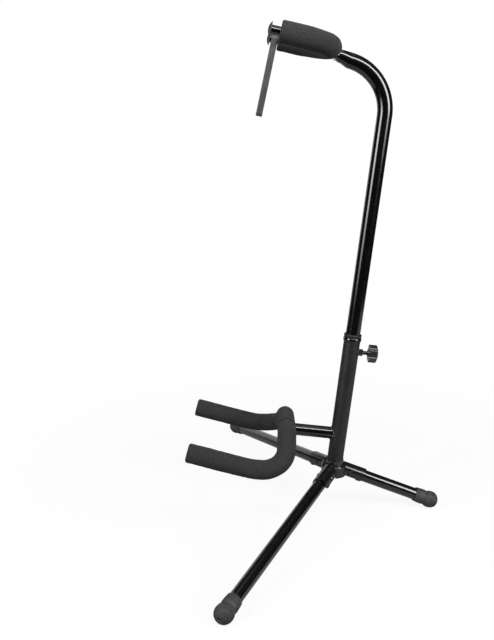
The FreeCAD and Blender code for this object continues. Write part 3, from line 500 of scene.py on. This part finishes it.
def zinc_finish():
    """Dark plated screw: grey metal, finely brushed."""
    finish, tree, shader, mapping = new_finish("screw_zinc")
    shader.inputs["Metallic"].default_value = 1.0
    brushed = noise(tree, mapping, scale=900.0, detail=3.0, roughness=0.7)
    colour = blended(tree, spread(tree, brushed, 0, 1), dark=(0.035, 0.035, 0.038),
                     light=(0.075, 0.075, 0.08))
    tree.links.new(colour, shader.inputs["Base Color"])
    tree.links.new(spread(tree, brushed, 0.25, 0.45), shader.inputs["Roughness"])
    return finish


FINISHES = {
    "tube_gloss": enamel("tube_gloss_enamel", dark=(0.0012, 0.0012, 0.0014),
                         light=(0.0022, 0.0022, 0.0025), rough=(0.14, 0.22), peel_size=0.004,
                         peel=0.003, coat=1.0),
    "tube_satin": enamel("tube_satin_enamel", dark=(0.0115, 0.0115, 0.0125),
                         light=(0.017, 0.017, 0.0175), rough=(0.36, 0.48), peel_size=0.0012,
                         peel=0.08, coat=0.0),
    "hub_steel": enamel("hub_enamel", dark=(0.0045, 0.0045, 0.005),
                        light=(0.009, 0.009, 0.0095), rough=(0.16, 0.28), peel_size=0.0014,
                        peel=0.02, coat=0.6),
    "foam": foam_finish("sleeve_foam", dark=(0.016, 0.0151, 0.0155),
                        light=(0.0405, 0.0382, 0.0393)),
    "soft_rubber": rubber("foot_rubber", dark=(0.037, 0.037, 0.0385),
                          light=(0.056, 0.056, 0.058), rough=0.6, grain_size=0.0007,
                          grain_depth=0.0002),
    "band_rubber": rubber("neck_band_rubber", dark=(0.06, 0.06, 0.067),
                          light=(0.085, 0.085, 0.093), rough=0.55, grain_size=0.0006,
                          grain_depth=0.00012),
    "nylon": rubber("bush_nylon", dark=(0.016, 0.016, 0.017), light=(0.026, 0.026, 0.027),
                    rough=0.42, grain_size=0.0008, grain_depth=0.0001),
    "knob_plastic": enamel("knob_plastic", dark=(0.013, 0.013, 0.0155),
                           light=(0.02, 0.02, 0.0225), rough=(0.2, 0.3), peel_size=0.0014,
                           peel=0.03, coat=1.0),
    "zinc_steel": zinc_finish(),
}

# Every node has the finish of its slot. The pieces that replace nodes are given theirs below.
SLOT_OF = {entry["node"]: entry["material_slot"] for entry in frame["record"]["subparts"]}
BODY_OF = {}
for body, members in frame["record"]["behaviour"]["bodies"].items():
    BODY_OF.update(dict.fromkeys(members, body))
for name, node in nodes.items():
    node.data.materials.clear()
    node.data.materials.append(FINISHES[SLOT_OF[name]])


# Posts

def neck_route():
    """The upper tube's line: straight up, through its bend and on to the end that is pressed."""
    run = NECK_BEND_RADIUS * math.tan(NECK_BEND_ANGLE / 2)
    heading = np.array([0, -math.sin(NECK_BEND_ANGLE), math.cos(NECK_BEND_ANGLE)])
    crest = np.array([0, 0, NECK_BEND_START + run])
    corners = [[0, 0, UPPER_START], crest, crest + heading * (run + PRESS_STOPS[-1])]
    points = route(corners, [NECK_BEND_RADIUS])
    return on_post(points[:, 0], points[:, 1], points[:, 2])


def make_upper_post():
    """A round tube whose end is pressed flat under the yoke's rod."""
    points = spaced(neck_route(), TUBE_STEP)
    along = lengths(points)
    past = along - (along[-1] - PRESS_STOPS[-1])
    heights = eased(past, PRESS_STOPS, PRESS_HEIGHTS)
    lifts = eased(past, PRESS_STOPS, PRESS_LIFTS)
    across, rise = flattened_section(heights, lifts, UPPER_RADIUS, TUBE_AROUND)
    piece = skin("upper_post", rings(points, RIGHT, across, rise))
    place(piece, "neck", "tube_gloss", FINISHES["tube_gloss"], "inner_tube")


def make_lower_post():
    """The satin tube, and the glossy bead rolled round its mouth: radius + proud·sin t at
    height·(1 - cos t) / 2 over the tube's edge."""
    bore = LOWER_RADIUS - TUBE_WALL
    below = LOWER_TOP - RIM_HEIGHT
    tube = turned("lower_post", [(bore, -LOWER_SINK), (LOWER_RADIUS, -LOWER_SINK),
                                 (LOWER_RADIUS, below), (bore, below)],
                  POST_FOOT, UP_POST, RIGHT)
    place(tube, "base", "tube_satin", FINISHES["tube_satin"], "outer_tube")
    t = np.linspace(0, math.pi, RIM_POINTS)
    bead = np.stack([LOWER_RADIUS + RIM_PROUD * np.sin(t),
                     LOWER_TOP - RIM_HEIGHT / 2 - RIM_HEIGHT / 2 * np.cos(t)], axis=1)
    rim = turned("post_rim", np.concatenate([bead, [[bore, LOWER_TOP], [bore, below]]]),
                 POST_FOOT, UP_POST, RIGHT)
    place(rim, "base", "tube_gloss", FINISHES["tube_gloss"], "outer_tube")


make_upper_post()
make_lower_post()


# Yoke

YOKE_TILT = POST_LEAN + YOKE_RISE
YOKE_REAR = np.array([0.0, math.cos(YOKE_TILT), -math.sin(YOKE_TILT)])
YOKE_UP = np.array([0.0, math.sin(YOKE_TILT), math.cos(YOKE_TILT)])


def yoke_back():
    """The middle of the yoke's bend: from the end of the neck bend, on along the tube and up."""
    radius, sine, cosine = NECK_BEND_RADIUS, math.sin(NECK_BEND_ANGLE), math.cos(NECK_BEND_ANGLE)
    back = -radius * (1 - cosine) - ROD_DISTANCE * sine + ROD_SEAT * cosine
    up = NECK_BEND_START + radius * sine + ROD_DISTANCE * cosine + ROD_SEAT * sine
    return on_post(0.0, back, up)


YOKE_BACK = yoke_back()


def on_yoke(across, rear, up=0.0):
    """A place given across, behind and up the yoke's own plane, from the middle of its bend."""
    across, rear, up = np.broadcast_arrays(across, rear, up)
    return (YOKE_BACK + across[..., None] * RIGHT + rear[..., None] * YOKE_REAR
            + up[..., None] * YOKE_UP)


def yoke_line(side, reach):
    """Half of the yoke: a quarter circle out from the middle, then straight to the reach."""
    t = np.linspace(0, math.pi / 2, ARC_POINTS)
    across = np.concatenate([YOKE_HALF * np.sin(t), [YOKE_HALF]]) * side
    rear = np.concatenate([YOKE_HALF * (np.cos(t) - 1), [-reach]])
    return on_yoke(across, rear)


def make_yoke_rod():
    """A round rod, radius·cos a and radius·sin a, from cap to cap."""
    reach = YOKE_REACH + PEG_BARE + PEG_IN_CAP
    points = np.concatenate([yoke_line(-1, reach)[::-1], yoke_line(1, reach)[1:]])
    points = spaced(points, TUBE_STEP)
    a = circle(ROD_AROUND)
    piece = skin("yoke_bar", rings(points, YOKE_UP, ROD_RADIUS * np.cos(a),
                                   ROD_RADIUS * np.sin(a)))
    place(piece, "neck", "tube_gloss", FINISHES["tube_gloss"], "yoke_rod")


def sleeve_grid(points, side, radius, edge, seed, folds, neck=PLAIN_NECK):
    """A foam sleeve as rings out along its skin, in at its end's face and back along its bore.
    The skin is radius + hills - folds, and each end is rounded by its edge:
    radius - edge·(1 - sqrt(1 - t·t)), with t from 0 to 1 over the last edge's length. A neck
    goes on from the first end, a quarter of the foam's thickness below the skin."""
    along = lengths(points)
    a = circle(SLEEVE_AROUND)
    into = np.clip(1 - np.minimum(along, along[-1] - along) / edge, 0, 1)
    inset = edge * (1 - np.sqrt(1 - into ** 2))
    ring = rings(points, side, radius * np.cos(a), radius * np.sin(a))
    relief = (SWELL_HEIGHT * hills(ring, SWELL_SIZE, seed)
              + DIMPLE_HEIGHT * hills(ring, DIMPLE_SIZE, seed + 1))
    skin_radius = radius + (relief - folds(along, a)) * (1 - into[:, None]) - inset[:, None]
    outside = rings(points, side, skin_radius * np.cos(a), skin_radius * np.sin(a))
    inside = rings(points, side, FOAM_BORE * np.cos(a), FOAM_BORE * np.sin(a))
    face = [outside[-1] * s + inside[-1] * (1 - s) for s in (0.75, 0.4)]
    onward = unit(points[0] - points[1]) * neck
    lip = outside[0] * 0.75 + inside[0] * 0.25
    return np.concatenate([outside, face, inside[::-1], [inside[0] + onward, lip + onward, lip]])


def mark_painted_shade(piece, skin_rings):
    """The attribute "cut": 0 on the rings of the skin and 1 on those after them, the end faces,
    bore and neck that the foam's finish paints near black as painted shade.
    """
    rows = np.arange(len(piece.data.vertices) // SLEEVE_AROUND) >= skin_rings
    layer = piece.data.attributes.new("cut", "FLOAT", "POINT")
    layer.data.foreach_set("value", np.repeat(rows.astype(float), SLEEVE_AROUND))


def crush(centre, width, depth, count, inner_angle):
    """Small folds where a sleeve is squeezed on the inside of a bend: depth·(1 + cos) / 2, with
    a count of folds, under a bell along the sleeve and another round the inner side."""
    def folds(along, a):
        bell = np.exp(-((along - centre) / width) ** 2)[:, None]
        inside = np.exp(-(np.angle(np.exp(1j * (a - inner_angle))) / FOLD_SPREAD) ** 2)
        wave = 0.5 + 0.5 * np.cos(math.pi * count * (along - centre) / width)
        return depth * bell * inside * wave[:, None]
    return folds


def make_yoke_foam(side):
    """Half of the yoke's foam, from the middle of the bend to where its peg is bare."""
    name = "right" if side > 0 else "left"
    line = spaced(yoke_line(side, YOKE_REACH), YOKE_SLEEVE_STEP)
    folds = crush(centre=45 * MM, width=30 * MM, depth=0.5 * MM, count=5,
                  inner_angle=-side * math.pi / 2)
    grid = sleeve_grid(line, YOKE_UP, YOKE_FOAM_RADIUS, YOKE_EDGE, seed=11 + side, folds=folds)
    piece = skin("yoke_sleeve_" + name, grid, closed=True)
    mark_painted_shade(piece, len(line))
    place(piece, "neck", "foam", FINISHES["foam"], "yoke_foam_" + name)


make_yoke_rod()
make_yoke_foam(1)
make_yoke_foam(-1)


# Cradle

def cradle_line(side):
    """Half of the cradle from its seam to its tip, in the post's frame."""
    height = ARM_HEIGHT + CRADLE_SEAT
    seam = np.array([CRADLE_SEAM + side * SEAM_SLIT / 2, -CRADLE_REACH, height])
    crank = np.array([side * CRANK_HALF, -CRADLE_REACH, height])
    corner = np.array([side * CRADLE_HALF, -CRADLE_REACH, height - CRADLE_DROP])
    heel = corner + HEEL_LENGTH * np.array([0, -math.cos(HEEL_FALL), -math.sin(HEEL_FALL)])
    tip = heel + TOE_LENGTH * np.array([0, -math.cos(TOE_RISE), math.sin(TOE_RISE)])
    points = route([seam, crank, corner, heel, tip], CRADLE_BENDS)
    return on_post(points[:, 0], points[:, 1], points[:, 2])


def make_cradle_foam(side):
    """The left sleeve covers the crossbar up to the seam, where the right one starts. A groove
    shows between them, over the left one's neck. The rings start on a slanting way that the line
    never follows."""
    name = "right" if side > 0 else "left"
    line = spaced(cradle_line(side), CRADLE_SLEEVE_STEP)
    folds = crush(centre=74 * MM - side * CRADLE_SEAM, width=30 * MM, depth=0.7 * MM, count=5,
                  inner_angle=math.pi if side > 0 else 0.0)
    along = lengths(line)
    edge = np.where(along < along[-1] / 2, SEAM_EDGES[side], TOE_EDGE)
    slanting = RIGHT * 0.3 + UP_POST * 0.9 + BACK * 0.3
    grid = sleeve_grid(line, slanting, CRADLE_FOAM_RADIUS, edge, seed=21 + side, folds=folds,
                       neck=SEAM_NECK if side < 0 else PLAIN_NECK)
    piece = skin("cradle_sleeve_" + name, grid, closed=True)
    mark_painted_shade(piece, len(line))
    place(piece, "base", "foam", FINISHES["foam"], "cradle_foam_" + name)


def make_cradle_arm():
    """A round tube pressed flat at its far end. Its near end is cut to the post: it starts at
    -sqrt(r·r - across²) behind, where r reaches half way into the post's wall."""
    points = spaced(on_post(np.zeros(2), -np.array([ARM_START, ARM_END]), ARM_HEIGHT), ARM_STEP)
    heights = eased(lengths(points) + ARM_START, ARM_PRESS_STOPS, ARM_PRESS_HEIGHTS)
    across, rise = flattened_section(heights, np.zeros(len(points)), ARM_RADIUS, ARM_AROUND)
    share = np.array([0.02, 0.4, 0.75, 1.0])[:, None]
    behind = -np.sqrt((LOWER_RADIUS - TUBE_WALL / 2) ** 2 - (share * across[0]) ** 2)
    end = on_post(share * across[0], behind, ARM_HEIGHT + share * rise[0])
    piece = skin("cradle_tube", np.concatenate([end, rings(points, RIGHT, across, rise)]))
    place(piece, "base", "tube_gloss", FINISHES["tube_gloss"], "cradle_arm")


make_cradle_foam(1)
make_cradle_foam(-1)
make_cradle_arm()


# Legs and feet

def leg_axes(azimuth, pivot_radius, pivot_height, foot_radius):
    """Pivot, ball's centre, and the leg's own ways across, up and down along it."""
    out = np.array([math.sin(azimuth), -math.cos(azimuth), 0.0])
    pivot = out * pivot_radius + np.array([0, 0, pivot_height])
    foot = out * foot_radius + np.array([0, 0, BALL_HEIGHT])
    down = unit(foot - pivot)
    side = np.array([math.cos(azimuth), math.sin(azimuth), 0.0])
    return pivot, foot, side, np.cross(down, side), down


def make_leg(name):
    """A tube whose upper end is cut round about the rivet, so that it can turn in its channel: it
    starts at -sqrt(r·r - rise·rise) along the leg, where rise is the height over its axis, and
    nowhere outside a ball of the nose's radius."""
    pivot, foot, side, rise_way, down = leg_axes(*LEGS[name])
    end = np.linalg.norm(foot - pivot) - LEG_SETBACK
    a = circle(TUBE_AROUND)
    bore = LEG_RADIUS - TUBE_WALL
    rows = []
    for radius, share in ((LEG_RADIUS, 0.0), (bore, 0.0), (bore, 1.0), (LEG_RADIUS, 1.0),
                          (LEG_RADIUS, 0.5), (LEG_RADIUS, 0.01)):
        rise = radius * np.sin(a)
        start = -np.minimum(np.sqrt(LEG_RADIUS ** 2 - rise ** 2),
                            math.sqrt(LEG_NOSE ** 2 - radius ** 2))
        along = start + (end - start) * share
        rows.append(pivot + (radius * np.cos(a))[:, None] * side + rise[:, None] * rise_way
                    + along[:, None] * down)
    piece = skin("leg_" + name, np.array(rows), closed=True)
    place(piece, name + "_leg", "tube_gloss", FINISHES["tube_gloss"], "leg_tube_" + name)


def make_foot(name):
    """A rubber foot: a boot turned about the leg, and a ball that is a little fuller than a
    sphere, |r / R|^n + |z / R|^n = 1, with a small pit in its tip. Narrow grooves,
    depth·exp(-(offset / width)²), go round it at even steps, and it is flat on the floor. Its
    axis is tilted up from the leg's."""
    _, foot, side, rise_way, down = leg_axes(*LEGS[name])
    boot = turned("foot_boot_" + name, BOOT_OUTLINE, foot, down, side)
    place(boot, name + "_leg", "soft_rubber", FINISHES["soft_rubber"], "foot_" + name)
    t = np.linspace(BALL_BACK, BALL_TIP, BALL_POINTS)
    n = BALL_FULLNESS
    full = (np.abs(np.sin(t)) ** n + np.abs(np.cos(t)) ** n) ** (-1 / n)
    offset = (t + RIB_STEP / 2) % RIB_STEP - RIB_STEP / 2
    ribbed = (t > RIB_STEP * RIB_FIRST) * (t < RIB_STEP * RIB_LAST)
    radius = BALL_RADIUS * full - RIB_DEPTH * (np.exp(-(offset / RIB_WIDTH) ** 2) * ribbed)
    ball = np.stack([radius * np.sin(t), radius * np.cos(t)], axis=1)
    axis = math.cos(BALL_TILT) * down + math.sin(BALL_TILT) * rise_way
    piece = turned("foot_ball_" + name, np.concatenate([ball, PIT_OUTLINE]), foot, axis, side,
                   BALL_AROUND)
    mesh = piece.data
    places = np.empty(len(mesh.vertices) * 3)
    mesh.vertices.foreach_get("co", places)
    places = places.reshape(-1, 3)
    places[:, 2] = np.maximum(places[:, 2], 0.0)
    mesh.vertices.foreach_set("co", places.ravel())
    place(piece, name + "_leg", "soft_rubber", FINISHES["soft_rubber"], "foot_" + name)


for name in LEGS:
    make_leg(name)
    make_foot(name)


# Neck band: a flat rubber loop over the left peg

def make_neck_band():
    """The loop's middle line is a half circle over the peg, two straight strands and a tight
    turn. Its section is a rounded rectangle, |x / a|^n + |y / b|^n = 1 in polar form."""
    top = ROD_RADIUS + BAND_CLEARANCE + BAND_THICKNESS / 2
    foot = BAND_TURN + BAND_THICKNESS / 2
    lean = math.asin((top - foot) / BAND_LENGTH)
    over = np.linspace(-lean, math.pi + lean, ARC_POINTS)
    under = np.linspace(math.pi + lean, 2 * math.pi - lean, TURN_POINTS)
    across = np.concatenate([top * np.cos(over), foot * np.cos(under)])
    rise = np.concatenate([top * np.sin(over), foot * np.sin(under) - BAND_LENGTH])
    flat = np.stack([across, rise, np.zeros_like(rise)], axis=1)
    flat = spaced(np.concatenate([flat, flat[:1]]), BAND_STEP)[:-1]
    middle = YOKE_REACH + BAND_GAP + BAND_WIDTH / 2
    points = on_yoke(-YOKE_HALF + flat[:, 0], -middle, flat[:, 1])
    outward = np.cross(closed_tangent(points), YOKE_REAR)
    a, n = circle(BAND_AROUND), BAND_SQUARENESS
    reach = (np.abs(np.cos(a) / (BAND_WIDTH / 2)) ** n
             + np.abs(np.sin(a) / (BAND_THICKNESS / 2)) ** n) ** (-1 / n)
    grid = (points[:, None] + (reach * np.cos(a))[:, None] * YOKE_REAR
            + (reach * np.sin(a))[:, None] * outward[:, None])
    piece = skin("neck_band_loop", grid, closed=True)
    place(piece, "band", "band_rubber", FINISHES["band_rubber"], "neck_band")


make_neck_band()


# Weld bead where the arm meets the post

def make_arm_weld():
    """A closed bead: rings of radius·(1 + ripple·cos), with one ripple for each bead radius of
    its length. Its line runs round the arm's circle, and behind by -sqrt(post² - across²)."""
    a = circle(WELD_POINTS)
    across = (ARM_RADIUS + WELD_OFF_ARM) * np.cos(a)
    up = ARM_HEIGHT + (ARM_RADIUS + WELD_OFF_ARM) * np.sin(a)
    line = on_post(across, -np.sqrt((LOWER_RADIUS + WELD_OFF_POST) ** 2 - across ** 2), up)
    points = spaced(np.concatenate([line, line[:1]]), WELD_STEP)[:-1]
    distance = np.arange(len(points)) * WELD_STEP
    radius = WELD_RADIUS * (1 + WELD_RIPPLE * np.cos(2 * math.pi * distance / WELD_RADIUS))
    tangent = closed_tangent(points)
    first = unit(UP_POST - (tangent * UP_POST).sum(1, keepdims=True) * tangent)
    b = circle(WELD_AROUND)[:, None]
    section = np.cos(b) * first[:, None] + np.sin(b) * np.cross(tangent, first)[:, None]
    grid = points[:, None] + radius[:, None, None] * section
    piece = skin("arm_weld", grid, closed=True)
    place(piece, "base", "hub_steel", FINISHES["tube_gloss"])


make_arm_weld()


# The small parts keep their own shapes

def make_smooth_copy(name):
    """A CAD node's shape as one mesh. Corners of its loose triangles that lie within a tenth of
    a micrometre become one, so that round faces shade smoothly and edges stay sharp."""
    mesh = nodes[name].data
    places = np.empty(len(mesh.vertices) * 3)
    mesh.vertices.foreach_get("co", places)
    places = places.reshape(-1, 3)
    corners = np.empty(len(mesh.loops), int)
    mesh.loops.foreach_get("vertex_index", corners)
    _, first, shared = np.unique(np.round(places / SAME_SPOT), axis=0, return_index=True,
                                 return_inverse=True)
    triangles = shared.reshape(-1)[corners].reshape(-1, 3)
    whole = (triangles != np.roll(triangles, 1, axis=1)).all(axis=1)
    piece = smooth_piece(name + "_smooth", places[first], triangles[whole].tolist())
    finish = FINISHES["tube_gloss" if name in ("foot_ring", "clamp_nut") else SLOT_OF[name]]
    place(piece, BODY_OF[name], SLOT_OF[name], finish, name)


for name in ("mouth_bush", "glide_plug", "yoke_cap_right", "yoke_cap_left", "cradle_cap_right",
             "cradle_cap_left", "hub_bracket", "foot_ring", "leg_rivet_right", "leg_rivet_left",
             "leg_rivet_rear", "clamp_nut", "clamp_screw", "clamp_knob"):
    make_smooth_copy(name)


# Floor, light and background

def camera_or_glossy(tree, glossy):
    """1 for a ray from the camera, and the glossy share for one that a gloss sends there."""
    path = tree.nodes.new("ShaderNodeLightPath")
    share = tree.nodes.new("ShaderNodeMath")
    share.operation = "MULTIPLY"
    share.inputs[1].default_value = glossy
    both = tree.nodes.new("ShaderNodeMath")
    both.operation = "MAXIMUM"
    tree.links.new(path.outputs["Is Glossy Ray"], share.inputs[0])
    tree.links.new(path.outputs["Is Camera Ray"], both.inputs[0])
    tree.links.new(share.outputs[0], both.inputs[1])
    return both.outputs[0]


def make_stage():
    """White paper that ends in front of the stand, out of the picture. Away from the stand the
    camera sees it as plain white, and near the stand part of its own shading shows."""
    mesh = bpy.data.meshes.new("floor")
    mesh.from_pydata([(PAPER_BACK, -PAPER_HALF, 0), (PAPER_FRONT, -PAPER_HALF, 0),
                      (PAPER_FRONT, PAPER_HALF, 0), (PAPER_BACK, PAPER_HALF, 0)],
                     [], [(0, 1, 2, 3)])
    floor = in_scene("floor", mesh)
    finish, tree, shader, mapping = new_finish("floor_white")
    colour = blended(tree, camera_or_glossy(tree, PAPER_IN_GLOSS), dark=[PAPER_GREY] * 3,
                     light=[PAPER_WHITE] * 3)
    tree.links.new(colour, shader.inputs["Base Color"])
    shader.inputs["Roughness"].default_value = 0.8
    light = tree.nodes.new("ShaderNodeEmission")
    away = tree.nodes.new("ShaderNodeVectorMath")
    away.operation = "LENGTH"
    tree.links.new(mapping.outputs["Vector"], away.inputs[0])
    share = tree.nodes.new("ShaderNodeMath")
    share.operation = "MULTIPLY"
    tree.links.new(camera_or_glossy(tree, 0.0), share.inputs[0])
    tree.links.new(spread(tree, away.outputs["Value"], PAPER_LIGHT_NEAR, 1.0,
                          from_low=PAPER_NEAR, from_high=PAPER_FAR), share.inputs[1])
    mix = tree.nodes.new("ShaderNodeMixShader")
    tree.links.new(share.outputs[0], mix.inputs[0])
    tree.links.new(shader.outputs[0], mix.inputs[1])
    tree.links.new(light.outputs[0], mix.inputs[2])
    tree.links.new(mix.outputs[0], tree.nodes["Material Output"].inputs["Surface"])
    mesh.materials.append(finish)


def area_lamp(name, width, height, power):
    """A rectangular lamp of that power in watts."""
    data = bpy.data.lights.new(name, "AREA")
    data.shape = "RECTANGLE"
    data.size = width
    data.size_y = height
    data.energy = power
    return in_scene(name, data)


def add_softbox(name, azimuth, low, high, fade, power):
    """A standing softbox on a circle about the stand that faces the post. Its light rises from
    nothing at its foot to full over the fade, as a share of its height."""
    lamp = area_lamp(name, SOFTBOX_WIDTH, high - low, power)
    lamp.data.use_nodes = True
    tree = lamp.data.node_tree
    spot = tree.nodes.new("ShaderNodeNewGeometry")
    parts = tree.nodes.new("ShaderNodeSeparateXYZ")
    tree.links.new(spot.outputs["Parametric"], parts.inputs["Vector"])
    tree.links.new(spread(tree, parts.outputs["Y"], 0.0, 1.0, from_low=0.0, from_high=fade),
                   tree.nodes["Emission"].inputs["Strength"])
    lamp.location = (SOFTBOX_DISTANCE * math.cos(azimuth), SOFTBOX_DISTANCE * math.sin(azimuth),
                     (low + high) / 2)
    lamp.rotation_euler = (math.pi / 2, 0, azimuth + math.pi / 2)


def make_card():
    """A low card behind the stand and to its left, white to the glosses that reflect it. The
    camera doesn't see it."""
    mesh = bpy.data.meshes.new("card")
    half = CARD_WIDTH / 2
    mesh.from_pydata([(0, -half, 0), (0, half, 0), (0, half, CARD_HEIGHT),
                      (0, -half, CARD_HEIGHT)], [], [(0, 1, 2, 3)])
    card = in_scene("card", mesh)
    card.location = (CARD_DISTANCE * math.cos(CARD_AZIMUTH),
                     CARD_DISTANCE * math.sin(CARD_AZIMUTH), 0)
    card.rotation_euler = (0, 0, CARD_AZIMUTH)
    card.visible_camera = False
    finish, tree, shader, _ = new_finish("card_white")
    colour = blended(tree, camera_or_glossy(tree, 1.0), dark=[CARD_GREY] * 3,
                     light=[CARD_WHITE] * 3)
    tree.links.new(colour, shader.inputs["Base Color"])
    shader.inputs["Roughness"].default_value = 0.8
    mesh.materials.append(finish)


def make_world():
    """A dark room, a little lighter overhead. The camera sees plain white in its place."""
    world = bpy.data.worlds.new("studio")
    bpy.context.scene.world = world
    world.use_nodes = True
    tree = world.node_tree
    background = tree.nodes["Background"]
    coordinates = tree.nodes.new("ShaderNodeTexCoord")
    upward = tree.nodes.new("ShaderNodeSeparateXYZ")
    tree.links.new(coordinates.outputs["Generated"], upward.inputs["Vector"])
    path = tree.nodes.new("ShaderNodeLightPath")
    strength = tree.nodes.new("ShaderNodeMix")
    strength.inputs["B"].default_value = 1.0
    tree.links.new(path.outputs["Is Camera Ray"], strength.inputs["Factor"])
    tree.links.new(spread(tree, upward.outputs["Z"], ROOM_DARK, ROOM_LIGHT, from_low=0.2,
                          from_high=0.9), strength.inputs["A"])
    tree.links.new(strength.outputs["Result"], background.inputs["Strength"])
    background.inputs["Color"].default_value = (1, 1, 1, 1)


def add_top_light(name, place_at, width, depth, power, aim):
    """A softbox over the stand, aimed at a place on it and hidden from the camera."""
    lamp = area_lamp(name, width, depth, power)
    lamp.location = place_at
    lamp.rotation_euler = (Vector(aim) - Vector(place_at)).to_track_quat("-Z", "Y").to_euler()
    lamp.visible_camera = False


make_stage()
make_card()
make_world()
add_softbox("softbox_front", math.radians(-56), low=0.03, high=2.3, fade=0.3, power=52)
add_softbox("softbox_rear", math.radians(54), low=0.28, high=2.3, fade=0.23, power=58)
add_top_light("top_front", (0.75, 0.2, 1.35), width=1.1, depth=0.24, power=9,
              aim=(0.0, -0.1, 0.7))
add_top_light("top_back", (-0.1, -0.1, 1.9), width=1.2, depth=1.2, power=2.5,
              aim=(0.0, -0.1, 0.4))

bpy.context.scene.view_settings.view_transform = "Standard"
